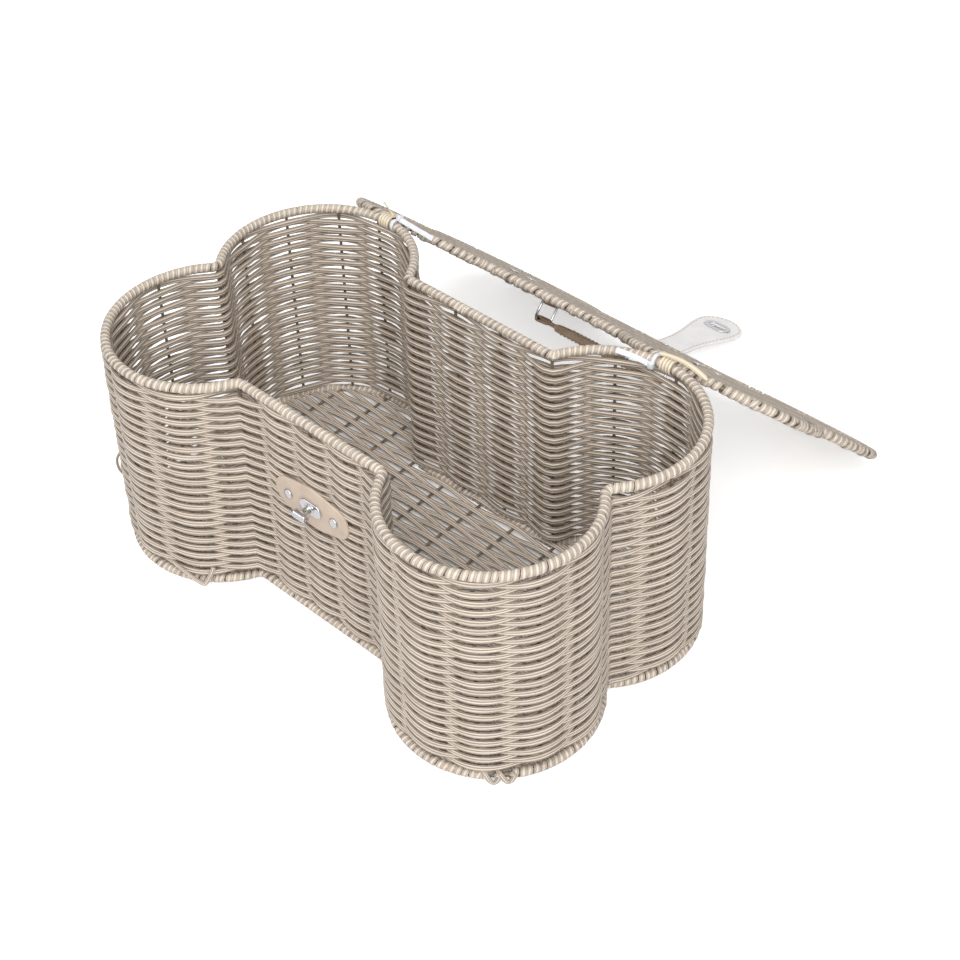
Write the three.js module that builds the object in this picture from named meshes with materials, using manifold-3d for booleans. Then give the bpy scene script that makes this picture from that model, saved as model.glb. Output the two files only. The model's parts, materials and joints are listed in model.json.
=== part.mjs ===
// Bone-shaped wicker basket for pet toys, with a hinged lid, a turn lock and a carrying handle.
// Millimetres, +Z up. The origin is on the floor under the middle of the basket, +X runs along the
// bone, +Y points to the hinges and the lock is on the -Y side. The lid is built shut, and its groups
// turn it open until its far lobes lie on the floor behind the basket.
import * as THREE from "three";
import { mergeVertices } from "three/addons/utils/BufferGeometryUtils.js";
import Module from "manifold-3d";

const wasm = await Module();
wasm.setup();

// Bone outline, measured outside over the wrapped rings
const boneLength = 500;
const boneWidth = 302;
const waistWidth = 199;
const lobeRadius = 89;
const waistFillet = 8;
const notchFillet = 8;
const lidOverhang = 6;

// Basket: heights, wires and weave
const basketHeight = 216;
const ringRod = 5;
const stakeWire = 3;
const wrapThickness = 1.2;
const weaveThickness = 7;
const weaveBetween = 3.6;
const stakeBulge = 18;
const lobeStakes = 5;
const frontStakes = 3;
const backStakes = 2;
const wirePitch = 43;
const wiresEachSide = 5;
const panelSlot = { length: 24, width: 34, pitch: 74, margin: 3 };

// Clearances: between pieces that touch, round a pivot, and between the open lid and the floor
const fitGap = 0.3;
const pivotGap = 0.4;
const restGap = 0.3;

// Hinges: flat strand turns and a nylon tie at each back lobe
const strandDiameter = 2.2;
const strandTurns = 4;
const strandPitch = 3;
const tieOffset = 11;
const tieWidth = 2.5;
const tieThickness = 1;
const tieHead = { width: 4.6, depth: 3.6, height: 4.4 };
const tieTail = { length: 26, lift: 8 };

// Turn lock on the front of the waist
const lockHeight = 131;
const patchLength = 84;
const patchEndRadius = 13;
const patchMiddleRadius = 17;
const patchThickness = 2.5;
const lockRivetSpacing = 53;
const plateLength = 26;
const plateWidth = 17;
const plateThickness = 1.5;
const spindleDiameter = 5;
const flangeDiameter = 8;
const flangeThickness = 0.9;
const knobLength = 16;
const knobWidth = 6.5;
const knobDepth = 6;
const knobClear = 3.2;

// Rivets and washers; the dome is in shares of the head's radius and height
const rivetHead = { diameter: 9, height: 2.2 };
const rivetDome = [[0.86, 0.55], [0.5, 0.9], [0, 1]];
const rivetShank = 3;
const washer = { diameter: 10, thickness: 1 };

// Handle on the lid
const handleSpan = 136;
const handleLeather = 1.8;
const chapeLength = 70;
const chapeWidth = 20;
const chapeRivets = [32, 54];
const ringWire = 2.5;
const ringWidth = 28;
const ringDrop = 18;
const ringCorner = 3;
const gripLength = 92;
const gripWidth = 26;
const gripThickness = 8;

// Clasp tab on the lid's front edge
const tabThickness = 2.5;
const tabNeck = 34;
const tabBulb = 50;
const strapLength = 46;
const tabRivetSpacing = 28;
const tabRivetInset = 20;
const slotLength = 20;
const slotWidth = 9;
const slotBorder = 4;
const slotPlate = 0.8;

// Facets and fineness
const arcStep = THREE.MathUtils.degToRad(18);
const ringSides = 8;
const rodSides = 5;
const wireSides = 4;
const turnSides = 8;
const strandSides = 5;
const strandArcSteps = 6;
const weldDistance = 1e-4;
const slopeHalvings = 60;

// Sizes that follow from the ones above
const ringRadius = ringRod / 2 + fitGap + wrapThickness;
const ringCornerRadius = ringRadius / Math.cos(Math.PI / ringSides);
const halfLength = boneLength / 2 - ringRadius;
const halfWidth = boneWidth / 2 - ringRadius;
const waistHalf = waistWidth / 2 - ringRadius;
const lobe = lobeRadius - ringRadius;
const lobeX = halfLength - lobe;
const lobeY = halfWidth - lobe;
const lidHalf = halfWidth + lidOverhang;
const rimZ = basketHeight - ringRadius;
const baseZ = ringRadius;
const panelInset = ringRadius + fitGap;
const barSpacing = 2 * ringCornerRadius + fitGap;
const wireRoom = (stakeWire / 2 + fitGap) / Math.cos(Math.PI / wireSides);

const materials = {
  rattan: material(0xcdc3b8, 0.55, 0),
  steel: material(0x8d8f92, 0.4, 1),
  chrome: material(0xd8dadd, 0.12, 1),
  leather: material(0xd4c2b0, 0.6, 0),
  lining: material(0xe9e6e4, 0.65, 0),
  grip: material(0xb09680, 0.5, 0),
  strand: material(0xe8d6b8, 0.6, 0),
  nylon: material(0xf0f0f4, 0.35, 0),
};

function material(color, roughness, metalness) {
  return new THREE.MeshStandardMaterial({ color, roughness, metalness });
}

// Solids: joining, cutting and naming

function solidOf(geometry) {
  const bare = geometry.index ? geometry.toNonIndexed() : geometry.clone();
  bare.deleteAttribute("normal");
  bare.deleteAttribute("uv");
  const merged = mergeVertices(bare, weldDistance);
  const corners = merged.index.array;
  const kept = [];
  for (let i = 0; i < corners.length; i += 3) {
    const [a, b, c] = corners.slice(i, i + 3);
    if (a !== b && b !== c && c !== a) kept.push(a, b, c);
  }
  const vertProperties = merged.attributes.position.array;
  return new wasm.Manifold(
    new wasm.Mesh({ numProp: 3, vertProperties, triVerts: new Uint32Array(kept) }),
  );
}

function geometryOf(solid) {
  const mesh = solid.getMesh();
  const geometry = new THREE.BufferGeometry();
  geometry.setAttribute("position", new THREE.BufferAttribute(mesh.vertProperties, 3));
  geometry.setIndex(new THREE.BufferAttribute(mesh.triVerts, 1));
  geometry.computeVertexNormals();
  return geometry;
}

function join(...geometries) {
  return geometryOf(geometries.map(solidOf).reduce((sum, next) => sum.add(next)));
}

function cut(geometry, ...tools) {
  return geometryOf(tools.map(solidOf).reduce((rest, tool) => rest.subtract(tool), solidOf(geometry)));
}

function addMesh(group, name, geometry, look) {
  const mesh = new THREE.Mesh(geometry, look);
  mesh.name = name;
  group.add(mesh);
}

function addGroup(parent, name, position, turnX = 0) {
  const group = new THREE.Group();
  group.name = name;
  group.position.set(...position);
  group.rotation.x = turnX;
  parent.add(group);
  return group;
}

// Shapes

// A round bar between two points, with flats at the given radius.
function bar(radius, from, to, sides = turnSides) {
  const start = new THREE.Vector3(...from);
  const along = new THREE.Vector3(...to).sub(start);
  const height = along.length();
  const corner = radius / Math.cos(Math.PI / sides);
  const geometry = new THREE.CylinderGeometry(corner, corner, height, sides);
  geometry.translate(0, height / 2, 0);
  const turn = new THREE.Quaternion().setFromUnitVectors(new THREE.Vector3(0, 1, 0), along.normalize());
  return geometry.applyQuaternion(turn).translate(...from);
}

function box(low, high) {
  const size = high.map((value, axis) => value - low[axis]);
  const middle = high.map((value, axis) => (value + low[axis]) / 2);
  return new THREE.BoxGeometry(...size).translate(...middle);
}

// A regular section with flats on both axes, as [outward, upward] pairs.
function roundSection(radius, sides, height = 0) {
  const corner = radius / Math.cos(Math.PI / sides);
  return Array.from({ length: sides }, (_, i) => {
    const angle = ((2 * i + 1) * Math.PI) / sides;
    return [corner * Math.cos(angle), height + corner * Math.sin(angle)];
  });
}

// A skin over a row of equal rings of points: looped round, or capped at both ends.
function loft(rings, looped) {
  const count = rings[0].length;
  const index = [];
  const spans = looped ? rings.length : rings.length - 1;
  for (let i = 0; i < spans; i++) {
    const here = i * count;
    const there = ((i + 1) % rings.length) * count;
    for (let j = 0; j < count; j++) {
      const k = (j + 1) % count;
      index.push(here + j, there + k, there + j, here + j, here + k, there + k);
    }
  }
  const end = (rings.length - 1) * count;
  for (let j = 1; j < count - 1 && !looped; j++) {
    index.push(0, j + 1, j, end, end + j, end + j + 1);
  }
  const geometry = new THREE.BufferGeometry().setFromPoints(rings.flat());
  return geometry.setIndex(index);
}

const flat = (a, b, v) => new THREE.Vector3(a, b, v);
const upright = (a, b, v) => new THREE.Vector3(v, a, b);

// A section carried round a closed anticlockwise path of points with outward normals.
function sweepLoop(path, section, place) {
  const clockwise = [...section].reverse();
  const rings = path.map((p) => clockwise.map(([u, v]) => place(p.x + p.nx * u, p.y + p.ny * u, v)));
  return loft(rings, true);
}

function arcPoint(x, y, radius, angle, side = 1) {
  const nx = Math.cos(angle);
  const ny = Math.sin(angle);
  return { x: x + radius * nx, y: y + radius * ny, nx: side * nx, ny: side * ny };
}

// The closed path round a convex row of circles, anticlockwise.
function hullLoop(circles, step = arcStep * 2) {
  const path = [];
  const edges = circles.map((from, i) => {
    const to = circles[(i + 1) % circles.length];
    const dx = to.x - from.x;
    const dy = to.y - from.y;
    return Math.atan2(dy, dx) - Math.PI / 2 + Math.asin((from.r - to.r) / Math.hypot(dx, dy));
  });
  circles.forEach((circle, i) => {
    const start = edges[(i + circles.length - 1) % circles.length];
    const full = 2 * Math.PI;
    const sweep = (((edges[i] - start) % full) + full) % full;
    const steps = Math.max(1, Math.round(sweep / step));
    for (let k = 0; k <= steps; k++) {
      path.push(arcPoint(circle.x, circle.y, circle.r, start + (sweep * k) / steps));
    }
  });
  return path;
}

function shapeOf(path, offset = 0) {
  return new THREE.Shape(path.map((p) => new THREE.Vector2(p.x + p.nx * offset, p.y + p.ny * offset)));
}

function plate(shape, depth, holes = []) {
  shape.holes.push(...holes);
  return new THREE.ExtrudeGeometry(shape, { depth, bevelEnabled: false });
}

// A solid of revolution about +Z from [radius, height] pairs, bottom first.
function turned(profile) {
  const points = profile.map(([radius, height]) => new THREE.Vector2(radius, height));
  return geometryOf(solidOf(new THREE.LatheGeometry(points, turnSides).rotateX(Math.PI / 2)));
}

// Bone outline

// The arcs of a ring's middle line: the basket's, or the lid's, which is larger by its overhang. A
// lobe meets its notch fillet at the start angle and its waist fillet at the end angle.
function bonePlan(overhang) {
  const radius = lobe + overhang;
  const waistY = waistHalf + overhang + waistFillet;
  const waistX = lobeX - Math.sqrt((radius + waistFillet) ** 2 - (waistY - lobeY) ** 2);
  const notchX = lobeX + Math.sqrt((radius + notchFillet) ** 2 - lobeY ** 2);
  const start = Math.atan2(-lobeY, notchX - lobeX);
  const end = Math.atan2(waistY - lobeY, waistX - lobeX);
  return { radius, waistX, waistY, notchX, start, end };
}

// One quarter of the middle line, from the end notch round the lobe to the waist.
function boneQuarter(plan) {
  const { radius, waistX, waistY, notchX, start, end } = plan;
  const notch = (angle) => arcPoint(notchX, 0, notchFillet, angle, -1);
  return [
    notch(Math.PI),
    notch(Math.PI + start / 2),
    ...[start, ...lobeAngles(plan), end].map((angle) => arcPoint(lobeX, lobeY, radius, angle)),
    waistCorner(plan),
    arcPoint(waistX, waistY, waistFillet, -Math.PI / 2, -1),
  ];
}

// Facets of a lobe between its fillets, half as long beside the hinge at the rearmost point.
function lobeAngles({ start, end }) {
  const near = arcStep / 4;
  const angles = [(Math.PI - arcStep) / 2, (Math.PI + arcStep) / 2];
  for (let k = Math.ceil((start + near) / arcStep); k * arcStep < end - near; k++) {
    angles.push(k * arcStep);
  }
  return angles.sort((a, b) => a - b);
}

// The distance from a lobe's centre to its faceted arc.
function lobeReach(plan, angle) {
  const angles = [plan.start, ...lobeAngles(plan), plan.end];
  const next = angles.findIndex((limit) => limit >= angle);
  const half = (angles[next] - angles[next - 1]) / 2;
  return (plan.radius * Math.cos(half)) / Math.cos(angle - angles[next] + half);
}

function waistCorner({ waistX, waistY, end }) {
  return arcPoint(waistX, waistY, waistFillet, (end - Math.PI - Math.PI / 2) / 2, -1);
}

function mirrored(points, sx, sy) {
  return points.map((p) => ({ x: sx * p.x, y: sy * p.y, nx: sx * p.nx, ny: sy * p.ny }));
}

function boneOutline(plan) {
  const quarter = boneQuarter(plan);
  const back = [...quarter].reverse();
  return [
    ...quarter,
    ...mirrored(back, -1, 1),
    ...mirrored(quarter, -1, -1).slice(1),
    ...mirrored(back, 1, -1).slice(0, -1),
  ];
}

const basketPlan = bonePlan(0);
const outline = boneOutline(basketPlan);
const lidOutline = boneOutline(bonePlan(lidOverhang));

// Half the bone's width at x, on a ring's middle line.
function halfWidthAt(path, x) {
  return path.reduce((most, p, i) => {
    const q = path[(i + 1) % path.length];
    if ((p.x - x) * (q.x - x) > 0 || p.x === q.x) return most;
    return Math.max(most, p.y + ((q.y - p.y) * (x - p.x)) / (q.x - p.x));
  }, 0);
}

// How far a back lobe has fallen away from its rearmost point, a distance along X from it.
const lobeSag = (x) => halfWidth - halfWidthAt(outline, lobeX - x);

// Upright stakes: at the notches, round each lobe, at the waist corners and along the waist.
function stakePoints() {
  const { waistX, notchX, start, end } = basketPlan;
  const points = [[notchX - notchFillet, 0], [notchFillet - notchX, 0]];
  const corner = waistCorner(basketPlan);
  const lobePoints = Array.from({ length: lobeStakes }, (_, k) => {
    const angle = besideHinge(start + ((k + 1) / (lobeStakes + 1)) * (end - start));
    return arcPoint(lobeX, lobeY, lobeReach(basketPlan, angle), angle);
  });
  for (const sx of [1, -1]) {
    for (const sy of [1, -1]) {
      for (const p of [corner, ...lobePoints]) points.push([sx * p.x, sy * p.y]);
    }
  }
  const lockAt = lockRivets.map(([, x]) => x);
  for (const [side, count, rivets] of [[-1, frontStakes, lockAt], [1, backStakes, []]]) {
    for (let k = 1; k <= count; k++) {
      points.push([besideRivets(waistX * ((2 * k) / (count + 1) - 1), rivets), side * waistHalf]);
    }
  }
  return points;
}

// The angle of a stake on a lobe, moved outwards where the hinge's turns would meet it.
function besideHinge(angle) {
  const room = Math.asin((windingHalf + fitGap + wireRoom) / basketPlan.radius);
  return Math.abs(angle - Math.PI / 2) < room ? Math.PI / 2 - room : angle;
}

// The place of a stake or a wire, moved aside where a rivet would meet it.
function besideRivets(x, rivets) {
  const room = rivetShank / 2 + fitGap + wireRoom;
  const met = rivets.find((rivet) => Math.abs(x - rivet) < room);
  if (met === undefined) return x;
  return x < met ? met - room : met + room;
}

// The wall's middle line, with half the wall's thickness at each point: the weave bulges over a stake
// and under a washer, and is flat between them.
function wallLine() {
  const seats = [...stakePoints(), ...lockRivets.map(([, x]) => [x, -waistHalf])];
  const line = outline.flatMap((from, i) => splitEdge(from, outline[(i + 1) % outline.length], seats));
  return line.map((p) => {
    const nearest = Math.min(...seats.map(([x, y]) => Math.hypot(p.x - x, p.y - y)));
    const bulge = Math.max(0, 1 - (2 * nearest) / stakeBulge);
    return { ...p, half: (weaveBetween + (weaveThickness - weaveBetween) * bulge) / 2 };
  });
}

// The points of one edge of the outline: its start, and the crest and feet of each bulge on it.
function splitEdge(from, to, seats) {
  const run = Math.hypot(to.x - from.x, to.y - from.y);
  const places = [0];
  for (const [x, y] of seats) {
    const along = ((x - from.x) * (to.x - from.x) + (y - from.y) * (to.y - from.y)) / run;
    const aside = ((x - from.x) * (to.y - from.y) - (y - from.y) * (to.x - from.x)) / run;
    if (Math.abs(aside) > fitGap) continue;
    for (const step of [-stakeBulge / 2, 0, stakeBulge / 2]) places.push(along + step);
  }
  const inside = places.filter((place) => place >= 0 && place < run - fitGap).sort((a, b) => a - b);
  const apart = inside.filter((place, k) => k === 0 || place - inside[k - 1] > fitGap);
  const between = (key, share) => from[key] + (to[key] - from[key]) * share;
  return apart.map((place) => {
    const [x, y, nx, ny] = ["x", "y", "nx", "ny"].map((key) => between(key, place / run));
    return { x, y, nx, ny };
  });
}

function wovenWall(low, high) {
  const rings = wallLine().map(({ x, y, nx, ny, half }) => {
    const share = half / Math.hypot(nx, ny);
    const corner = (side, z) => flat(x + side * nx * share, y + side * ny * share, z);
    return [corner(-1, high), corner(1, high), corner(1, low), corner(-1, low)];
  });
  return loft(rings, true);
}

// A bulge of a woven panel that runs along Y, over a wire or under a washer.
function weaveRidge(x, low, high) {
  const half = stakeBulge / 2;
  const crest = weaveThickness / 2;
  const foot = weaveBetween / 2 - fitGap;
  const section = [[-half, foot], [0, crest], [half, foot], [half, -foot], [0, -crest], [-half, -foot]];
  const shape = new THREE.Shape(section.map(([u, z]) => new THREE.Vector2(x + u, z)));
  return plate(shape, high - low).rotateX(Math.PI / 2).translate(0, high, 0);
}

// A woven panel: a sheet with a ridge over each cross wire, open in a grid between the wires.
function wovenPanel(path, rivets) {
  const sheet = plate(shapeOf(path, -panelInset), weaveBetween).translate(0, 0, -weaveBetween / 2);
  const half = stakeBulge / 2;
  const seat = washer.diameter / 2;
  const ridges = rivets.map(([x, y]) => weaveRidge(x, y - seat, y + seat));
  for (const x of wirePlaces(rivets.map(([across]) => across))) {
    const reach = Math.min(halfWidthAt(path, x - half), halfWidthAt(path, x + half)) - panelInset;
    ridges.push(weaveRidge(x, -reach, reach));
  }
  return cut(join(sheet, ...ridges), ...panelSlots(path, rivets));
}

// The grid of openings: one to a bay between two wires, in rows across the panel.
function panelSlots(path, rivets) {
  const { length, width, pitch, margin } = panelSlot;
  const rows = Math.floor(halfWidth / pitch);
  const slots = [];
  for (let column = -wiresEachSide; column < wiresEachSide; column++) {
    const x = (column + 0.5) * wirePitch;
    const ends = [x - length / 2, x + length / 2];
    const reach = Math.min(...ends.map((end) => halfWidthAt(path, end))) - panelInset - margin;
    for (let row = -rows; row < rows; row++) {
      const y = (row + 0.5) * pitch;
      const sides = [y - width / 2, y + width / 2];
      if (Math.abs(y) + width / 2 > reach) continue;
      if (rivets.some((rivetAt) => underWasher(rivetAt, ends, sides))) continue;
      slots.push(box([ends[0], sides[0], -weaveThickness], [ends[1], sides[1], weaveThickness]));
    }
  }
  return slots;
}

// Whether an opening with these ends and sides would meet the washer of a rivet.
function underWasher([x, y], ends, sides) {
  const room = washer.diameter / 2;
  const along = x > ends[0] - room && x < ends[1] + room;
  return along && y > sides[0] - room && y < sides[1] + room;
}

// Wire frames. A frame grown by a gap cuts the room for it in what is woven or wound round it.

function ringRodSolid(path, z, gap) {
  return sweepLoop(path, roundSection(ringRod / 2 + gap, rodSides, z), flat);
}

function wirePlaces(rivets) {
  const places = Array.from({ length: 2 * wiresEachSide + 1 }, (_, k) => (k - wiresEachSide) * wirePitch);
  return places.map((x) => besideRivets(x, rivets));
}

function crossWires(path, z, gap, rivets) {
  return wirePlaces(rivets).map((x) => {
    const reach = halfWidthAt(path, x);
    return bar(stakeWire / 2 + gap, [x, -reach, z], [x, reach, z], wireSides);
  });
}

function basketFrame(gap) {
  const radius = stakeWire / 2 + gap;
  const stakes = stakePoints().map(([x, y]) => bar(radius, [x, y, baseZ], [x, y, rimZ], wireSides));
  const rods = [rimZ, baseZ].map((z) => ringRodSolid(outline, z, gap));
  return join(...rods, ...stakes, ...crossWires(outline, baseZ, gap, []));
}

function lidFrame(gap) {
  const rivets = lidFasteners().map(([, , x]) => x);
  return join(ringRodSolid(lidOutline, 0, gap), ...crossWires(lidOutline, 0, gap, rivets));
}

// The strand wound round a ring's rod, open along a slot where the wires run out of it.
function binding(path, z, slotLow, slotHigh) {
  const blank = sweepLoop(path, roundSection(ringRadius, ringSides, z), flat);
  const [[left, bottom], [right, top]] = [slotLow, slotHigh];
  const slot = [[left, z + bottom], [right, z + bottom], [right, z + top], [left, z + top]];
  return cut(blank, ringRodSolid(path, z, fitGap), sweepLoop(path, slot, flat));
}

const slotRun = 2 * ringRadius;

// Stakes run down from the rim, wires run in from the lid's ring, and both leave the base ring.
const rimBinding = () => binding(outline, rimZ, [-wireRoom, -slotRun], [wireRoom, 0]);
const lidBinding = () => binding(lidOutline, 0, [-slotRun, -wireRoom], [0, wireRoom]);
const baseBinding = () => binding(outline, baseZ, [-slotRun, -wireRoom], [wireRoom, slotRun]);

// Hinge turns in the plane across the bars: rim bar at the origin, lid bar above it when shut.

const windingHalf = (strandTurns * strandPitch + strandDiameter) / 2;
const strandCorner = strandDiameter / 2 / Math.cos(Math.PI / strandSides);
const strandStep = Math.PI / strandArcSteps;
const tieStep = 2 * arcStep;
const strandClear = ringCornerRadius + lobeSag(windingHalf) + fitGap + strandCorner;
const strandRadius = strandClear / Math.cos(strandStep / 2);
const tieClear = ringCornerRadius + lobeSag(tieOffset + tieWidth / 2) + fitGap;
const tieInner = tieClear / Math.cos(tieStep / 2);
const hingeSweep = Math.hypot(strandRadius + strandCorner, barSpacing) + fitGap;
const hingeRoomHalf = tieOffset + tieHead.width / 2 + fitGap;

function barLoop(radius, step) {
  return hullLoop([{ x: 0, y: 0, r: radius }, { x: 0, y: barSpacing, r: radius }], step);
}

// The strand's middle line: up the basket side of the bars, over the lid bar and down the back, lap by
// lap, with straight ends one strand long.
function strandPath() {
  const clockwise = barLoop(strandRadius, strandStep).reverse();
  const foot = { x: -strandRadius, y: 0, nx: -1, ny: 0 };
  const path = [{ ...foot, y: -strandDiameter }, foot];
  for (let lap = 0; lap < strandTurns; lap++) path.push(...clockwise);
  path.push({ ...foot, y: barSpacing }, { ...foot, y: barSpacing + strandDiameter });
  const lapLength = 2 * (barSpacing + Math.PI * strandRadius);
  let length = 0;
  return path.map((p, i) => {
    const before = path[Math.max(0, i - 1)];
    length += Math.hypot(p.x - before.x, p.y - before.y);
    return { ...p, v: strandPitch * (length / lapLength - strandTurns / 2) };
  });
}

function strandWinding() {
  const path = strandPath();
  reportStrandGap(path);
  const section = roundSection(strandDiameter / 2, strandSides);
  const rings = path.map((p) => section.map(([u, v]) => upright(p.x + p.nx * u, p.y + p.ny * u, p.v + v)));
  return geometryOf(solidOf(loft(rings, false)));
}

// Prints the least clear distance between one turn of the strand and the next.
function reportStrandGap(path) {
  let least = Infinity;
  for (const p of path) {
    for (const q of path) {
      if (Math.abs(p.v - q.v) > strandPitch / 2) {
        least = Math.min(least, Math.hypot(p.x - q.x, p.y - q.y, p.v - q.v));
      }
    }
  }
  console.log("hinge strand: least gap to itself " + (least - strandDiameter).toFixed(2) + " mm");
}

// A closed nylon tie with its head on the basket side and its tail bent along the bars.
function cableTie(inward) {
  const side = tieWidth / 2;
  const section = [[0, -side], [tieThickness, -side], [tieThickness, side], [0, side]];
  const band = sweepLoop(barLoop(tieInner, tieStep), section, upright);
  const face = -tieInner;
  const head = box(
    [-tieHead.width / 2, face - tieHead.depth, -tieHead.height / 2],
    [tieHead.width / 2, face, tieHead.height / 2],
  );
  const rise = Math.atan2(tieTail.lift, tieTail.length);
  const tail = box([0, -tieThickness / 2, -tieWidth / 2], [tieTail.length, tieThickness / 2, tieWidth / 2]);
  tail.rotateZ(-rise);
  if (inward < 0) tail.rotateY(Math.PI);
  tail.translate(0, face - tieHead.depth / 2, 0);
  return join(band, head, tail);
}

// Fasteners: a rivet's head stands on +Z from its seat, and its shank goes down through the stack.

function rivet(shankLength) {
  const head = rivetHead.diameter / 2;
  const shank = rivetShank / 2;
  const dome = rivetDome.map(([out, up]) => [head * out, rivetHead.height * up]);
  return turned([[0, -shankLength], [shank, -shankLength], [shank, 0], [head, 0], ...dome]);
}

function washerRing() {
  const inner = rivetShank / 2 + fitGap;
  const outer = washer.diameter / 2;
  return turned([
    [inner, 0], [outer, 0], [outer, washer.thickness], [inner, washer.thickness], [inner, 0],
  ]);
}

const rivetHole = (from, to) => bar(rivetShank / 2 + fitGap, from, to);

// Lock: faces of the stack, counted outwards from the waist's middle plane to the front

const wallFace = waistHalf + weaveThickness / 2;
const wallInside = waistHalf - weaveThickness / 2;
const patchFace = wallFace + fitGap;
const patchFront = patchFace + patchThickness;
const plateFace = patchFront + fitGap;
const plateFront = plateFace + plateThickness;
const tabStack = tabThickness + 2 * (slotPlate + fitGap);
const knobFace = plateFront + tabStack + knobClear;
const lockRivets = [["left", -lockRivetSpacing / 2], ["right", lockRivetSpacing / 2]];

// A plate cut from a drawing in X and Z, its back at the given distance in front of the middle plane.
function frontPlate(shape, depth, back, holes) {
  return plate(shape, depth, holes).rotateX(Math.PI / 2).translate(0, -back, lockHeight);
}

const stadium = (length, width) => {
  const reach = (length - width) / 2;
  return hullLoop([{ x: -reach, y: 0, r: width / 2 }, { x: reach, y: 0, r: width / 2 }]);
};

function lockPatch() {
  const reach = patchLength / 2 - patchEndRadius;
  const shape = shapeOf(hullLoop([
    { x: -reach, y: 0, r: patchEndRadius },
    { x: 0, y: 0, r: patchMiddleRadius },
    { x: reach, y: 0, r: patchEndRadius },
    { x: 0, y: 0, r: patchMiddleRadius },
  ]));
  const through = (x) => [[x, -wallFace, lockHeight], [x, -plateFace, lockHeight]];
  const room = bar(flangeDiameter / 2 + fitGap, ...through(0));
  const holes = lockRivets.map(([, x]) => rivetHole(...through(x)));
  return cut(frontPlate(shape, patchThickness, patchFace), room, ...holes);
}

function lockPlate() {
  const hole = bar(spindleDiameter / 2 + fitGap, [0, -patchFace, 0], [0, -knobFace, 0]);
  const sheet = frontPlate(shapeOf(stadium(plateLength, plateWidth)), plateThickness, plateFace);
  return cut(sheet, hole.translate(0, 0, lockHeight));
}

// The knob in its own frame: its axis is +Z, and zero is at the plate's front face.
function lockKnob() {
  const flangeTop = -plateThickness - fitGap;
  const foot = [0, 0, flangeTop - flangeThickness];
  const knobSeat = knobFace - plateFront;
  const spindle = bar(spindleDiameter / 2, foot, [0, 0, knobSeat]);
  const flange = bar(flangeDiameter / 2, foot, [0, 0, flangeTop]);
  const knob = plate(shapeOf(stadium(knobLength, knobWidth)), knobDepth).translate(0, 0, knobSeat);
  return join(spindle, flange, knob);
}

// Handle: heights over the lid's middle plane

const lidFace = weaveThickness / 2;
const leatherSeat = lidFace + fitGap;
const loopBore = ringWire / 2 + pivotGap;
const loopRadius = loopBore + handleLeather;
const ringPivot = leatherSeat + loopRadius;
const chapeTop = leatherSeat + 2 * handleLeather;

// A leather loop for a ring's bar along Y: its bore is on the origin.
function loopBlank(width) {
  return bar(loopRadius, [0, -width / 2, 0], [0, width / 2, 0]);
}

function loopHole(width, x = 0) {
  return bar(loopBore, [x, -width, 0], [x, width, 0]);
}

// The chape's frame is on its ring's bar; it lies outwards along the lid.
function handleChape(side) {
  const ends = [0, side * chapeLength].sort((a, b) => a - b);
  const low = leatherSeat - ringPivot;
  const slab = box([ends[0], -chapeWidth / 2, low], [ends[1], chapeWidth / 2, low + 2 * handleLeather]);
  const holes = chapeRivets.map((x) => rivetHole([side * x, 0, low - fitGap], [side * x, 0, ringPivot]));
  return cut(join(slab, loopBlank(chapeWidth)), loopHole(chapeWidth), ...holes);
}

function handleRing() {
  const reach = ringWidth / 2 - ringCorner;
  const far = ringDrop - ringCorner;
  const corners = [[reach, ringCorner], [reach, far], [-reach, far], [-reach, ringCorner]];
  const path = hullLoop(corners.map(([x, y]) => ({ x, y, r: ringCorner })));
  return geometryOf(solidOf(sweepLoop(path, roundSection(ringWire / 2, ringSides), upright)));
}

// The grip's frame is on the far bar of the left ring; the strap runs to +X.
function handleGrip() {
  const width = chapeWidth;
  const strap = box([0, -width / 2, -handleLeather], [handleSpan, width / 2, handleLeather]);
  const section = stadium(gripWidth, gripThickness).map((p) => new THREE.Vector2(p.y, p.x));
  const pad = plate(new THREE.Shape(section), gripLength);
  pad.rotateY(Math.PI / 2).translate((handleSpan - gripLength) / 2, 0, 0);
  const loops = [loopBlank(width), loopBlank(width).translate(handleSpan, 0, 0)];
  return cut(join(strap, pad, ...loops), loopHole(width), loopHole(width, handleSpan));
}

// Clasp tab: the strap is riveted to the lid, and the tongue turns about the fold at its front end

const strapSeat = ringRadius + fitGap;
const foldHeight = strapSeat + tabThickness / 2;
const frontReach = lidHalf + waistHalf + lidOverhang + ringRadius;
const foldReach = frontReach + tabThickness / 2 + 2 * fitGap;
const strapTop = strapSeat + tabThickness;
const strapEnd = -foldReach + tabThickness / 2 + fitGap;
const shutDrop = rimZ + barSpacing + foldHeight - lockHeight;
// Shut, the tongue leans until the nearer edge of its back plate is a gap away from the lock's plate:
// the lower edge where it leans in, the upper one where it leans out.
const shutOut = plateFront + fitGap - (foldReach - halfWidth);
const plateDrop = shutDrop - Math.sign(shutOut) * (slotWidth / 2 + slotBorder);
const shutLean =
  Math.asin(shutOut / Math.hypot(plateDrop, tabStack / 2)) + Math.atan2(tabStack / 2, plateDrop);
const slotReach = shutDrop / Math.cos(shutLean);
const tongueLength = slotReach + tabBulb / 2;

function tabStrap() {
  const side = tabNeck / 2;
  const slab = box([-side, strapEnd, strapSeat], [side, strapEnd + strapLength, strapTop]);
  const holes = tabRivetPoints().map(([, x, y]) => rivetHole([x, y, 0], [x, y, 2 * strapTop]));
  return cut(slab, ...holes);
}

function tabRivetPoints() {
  const y = strapEnd + tabRivetInset;
  return [["left", -tabRivetSpacing / 2, y], ["right", tabRivetSpacing / 2, y]];
}

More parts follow.
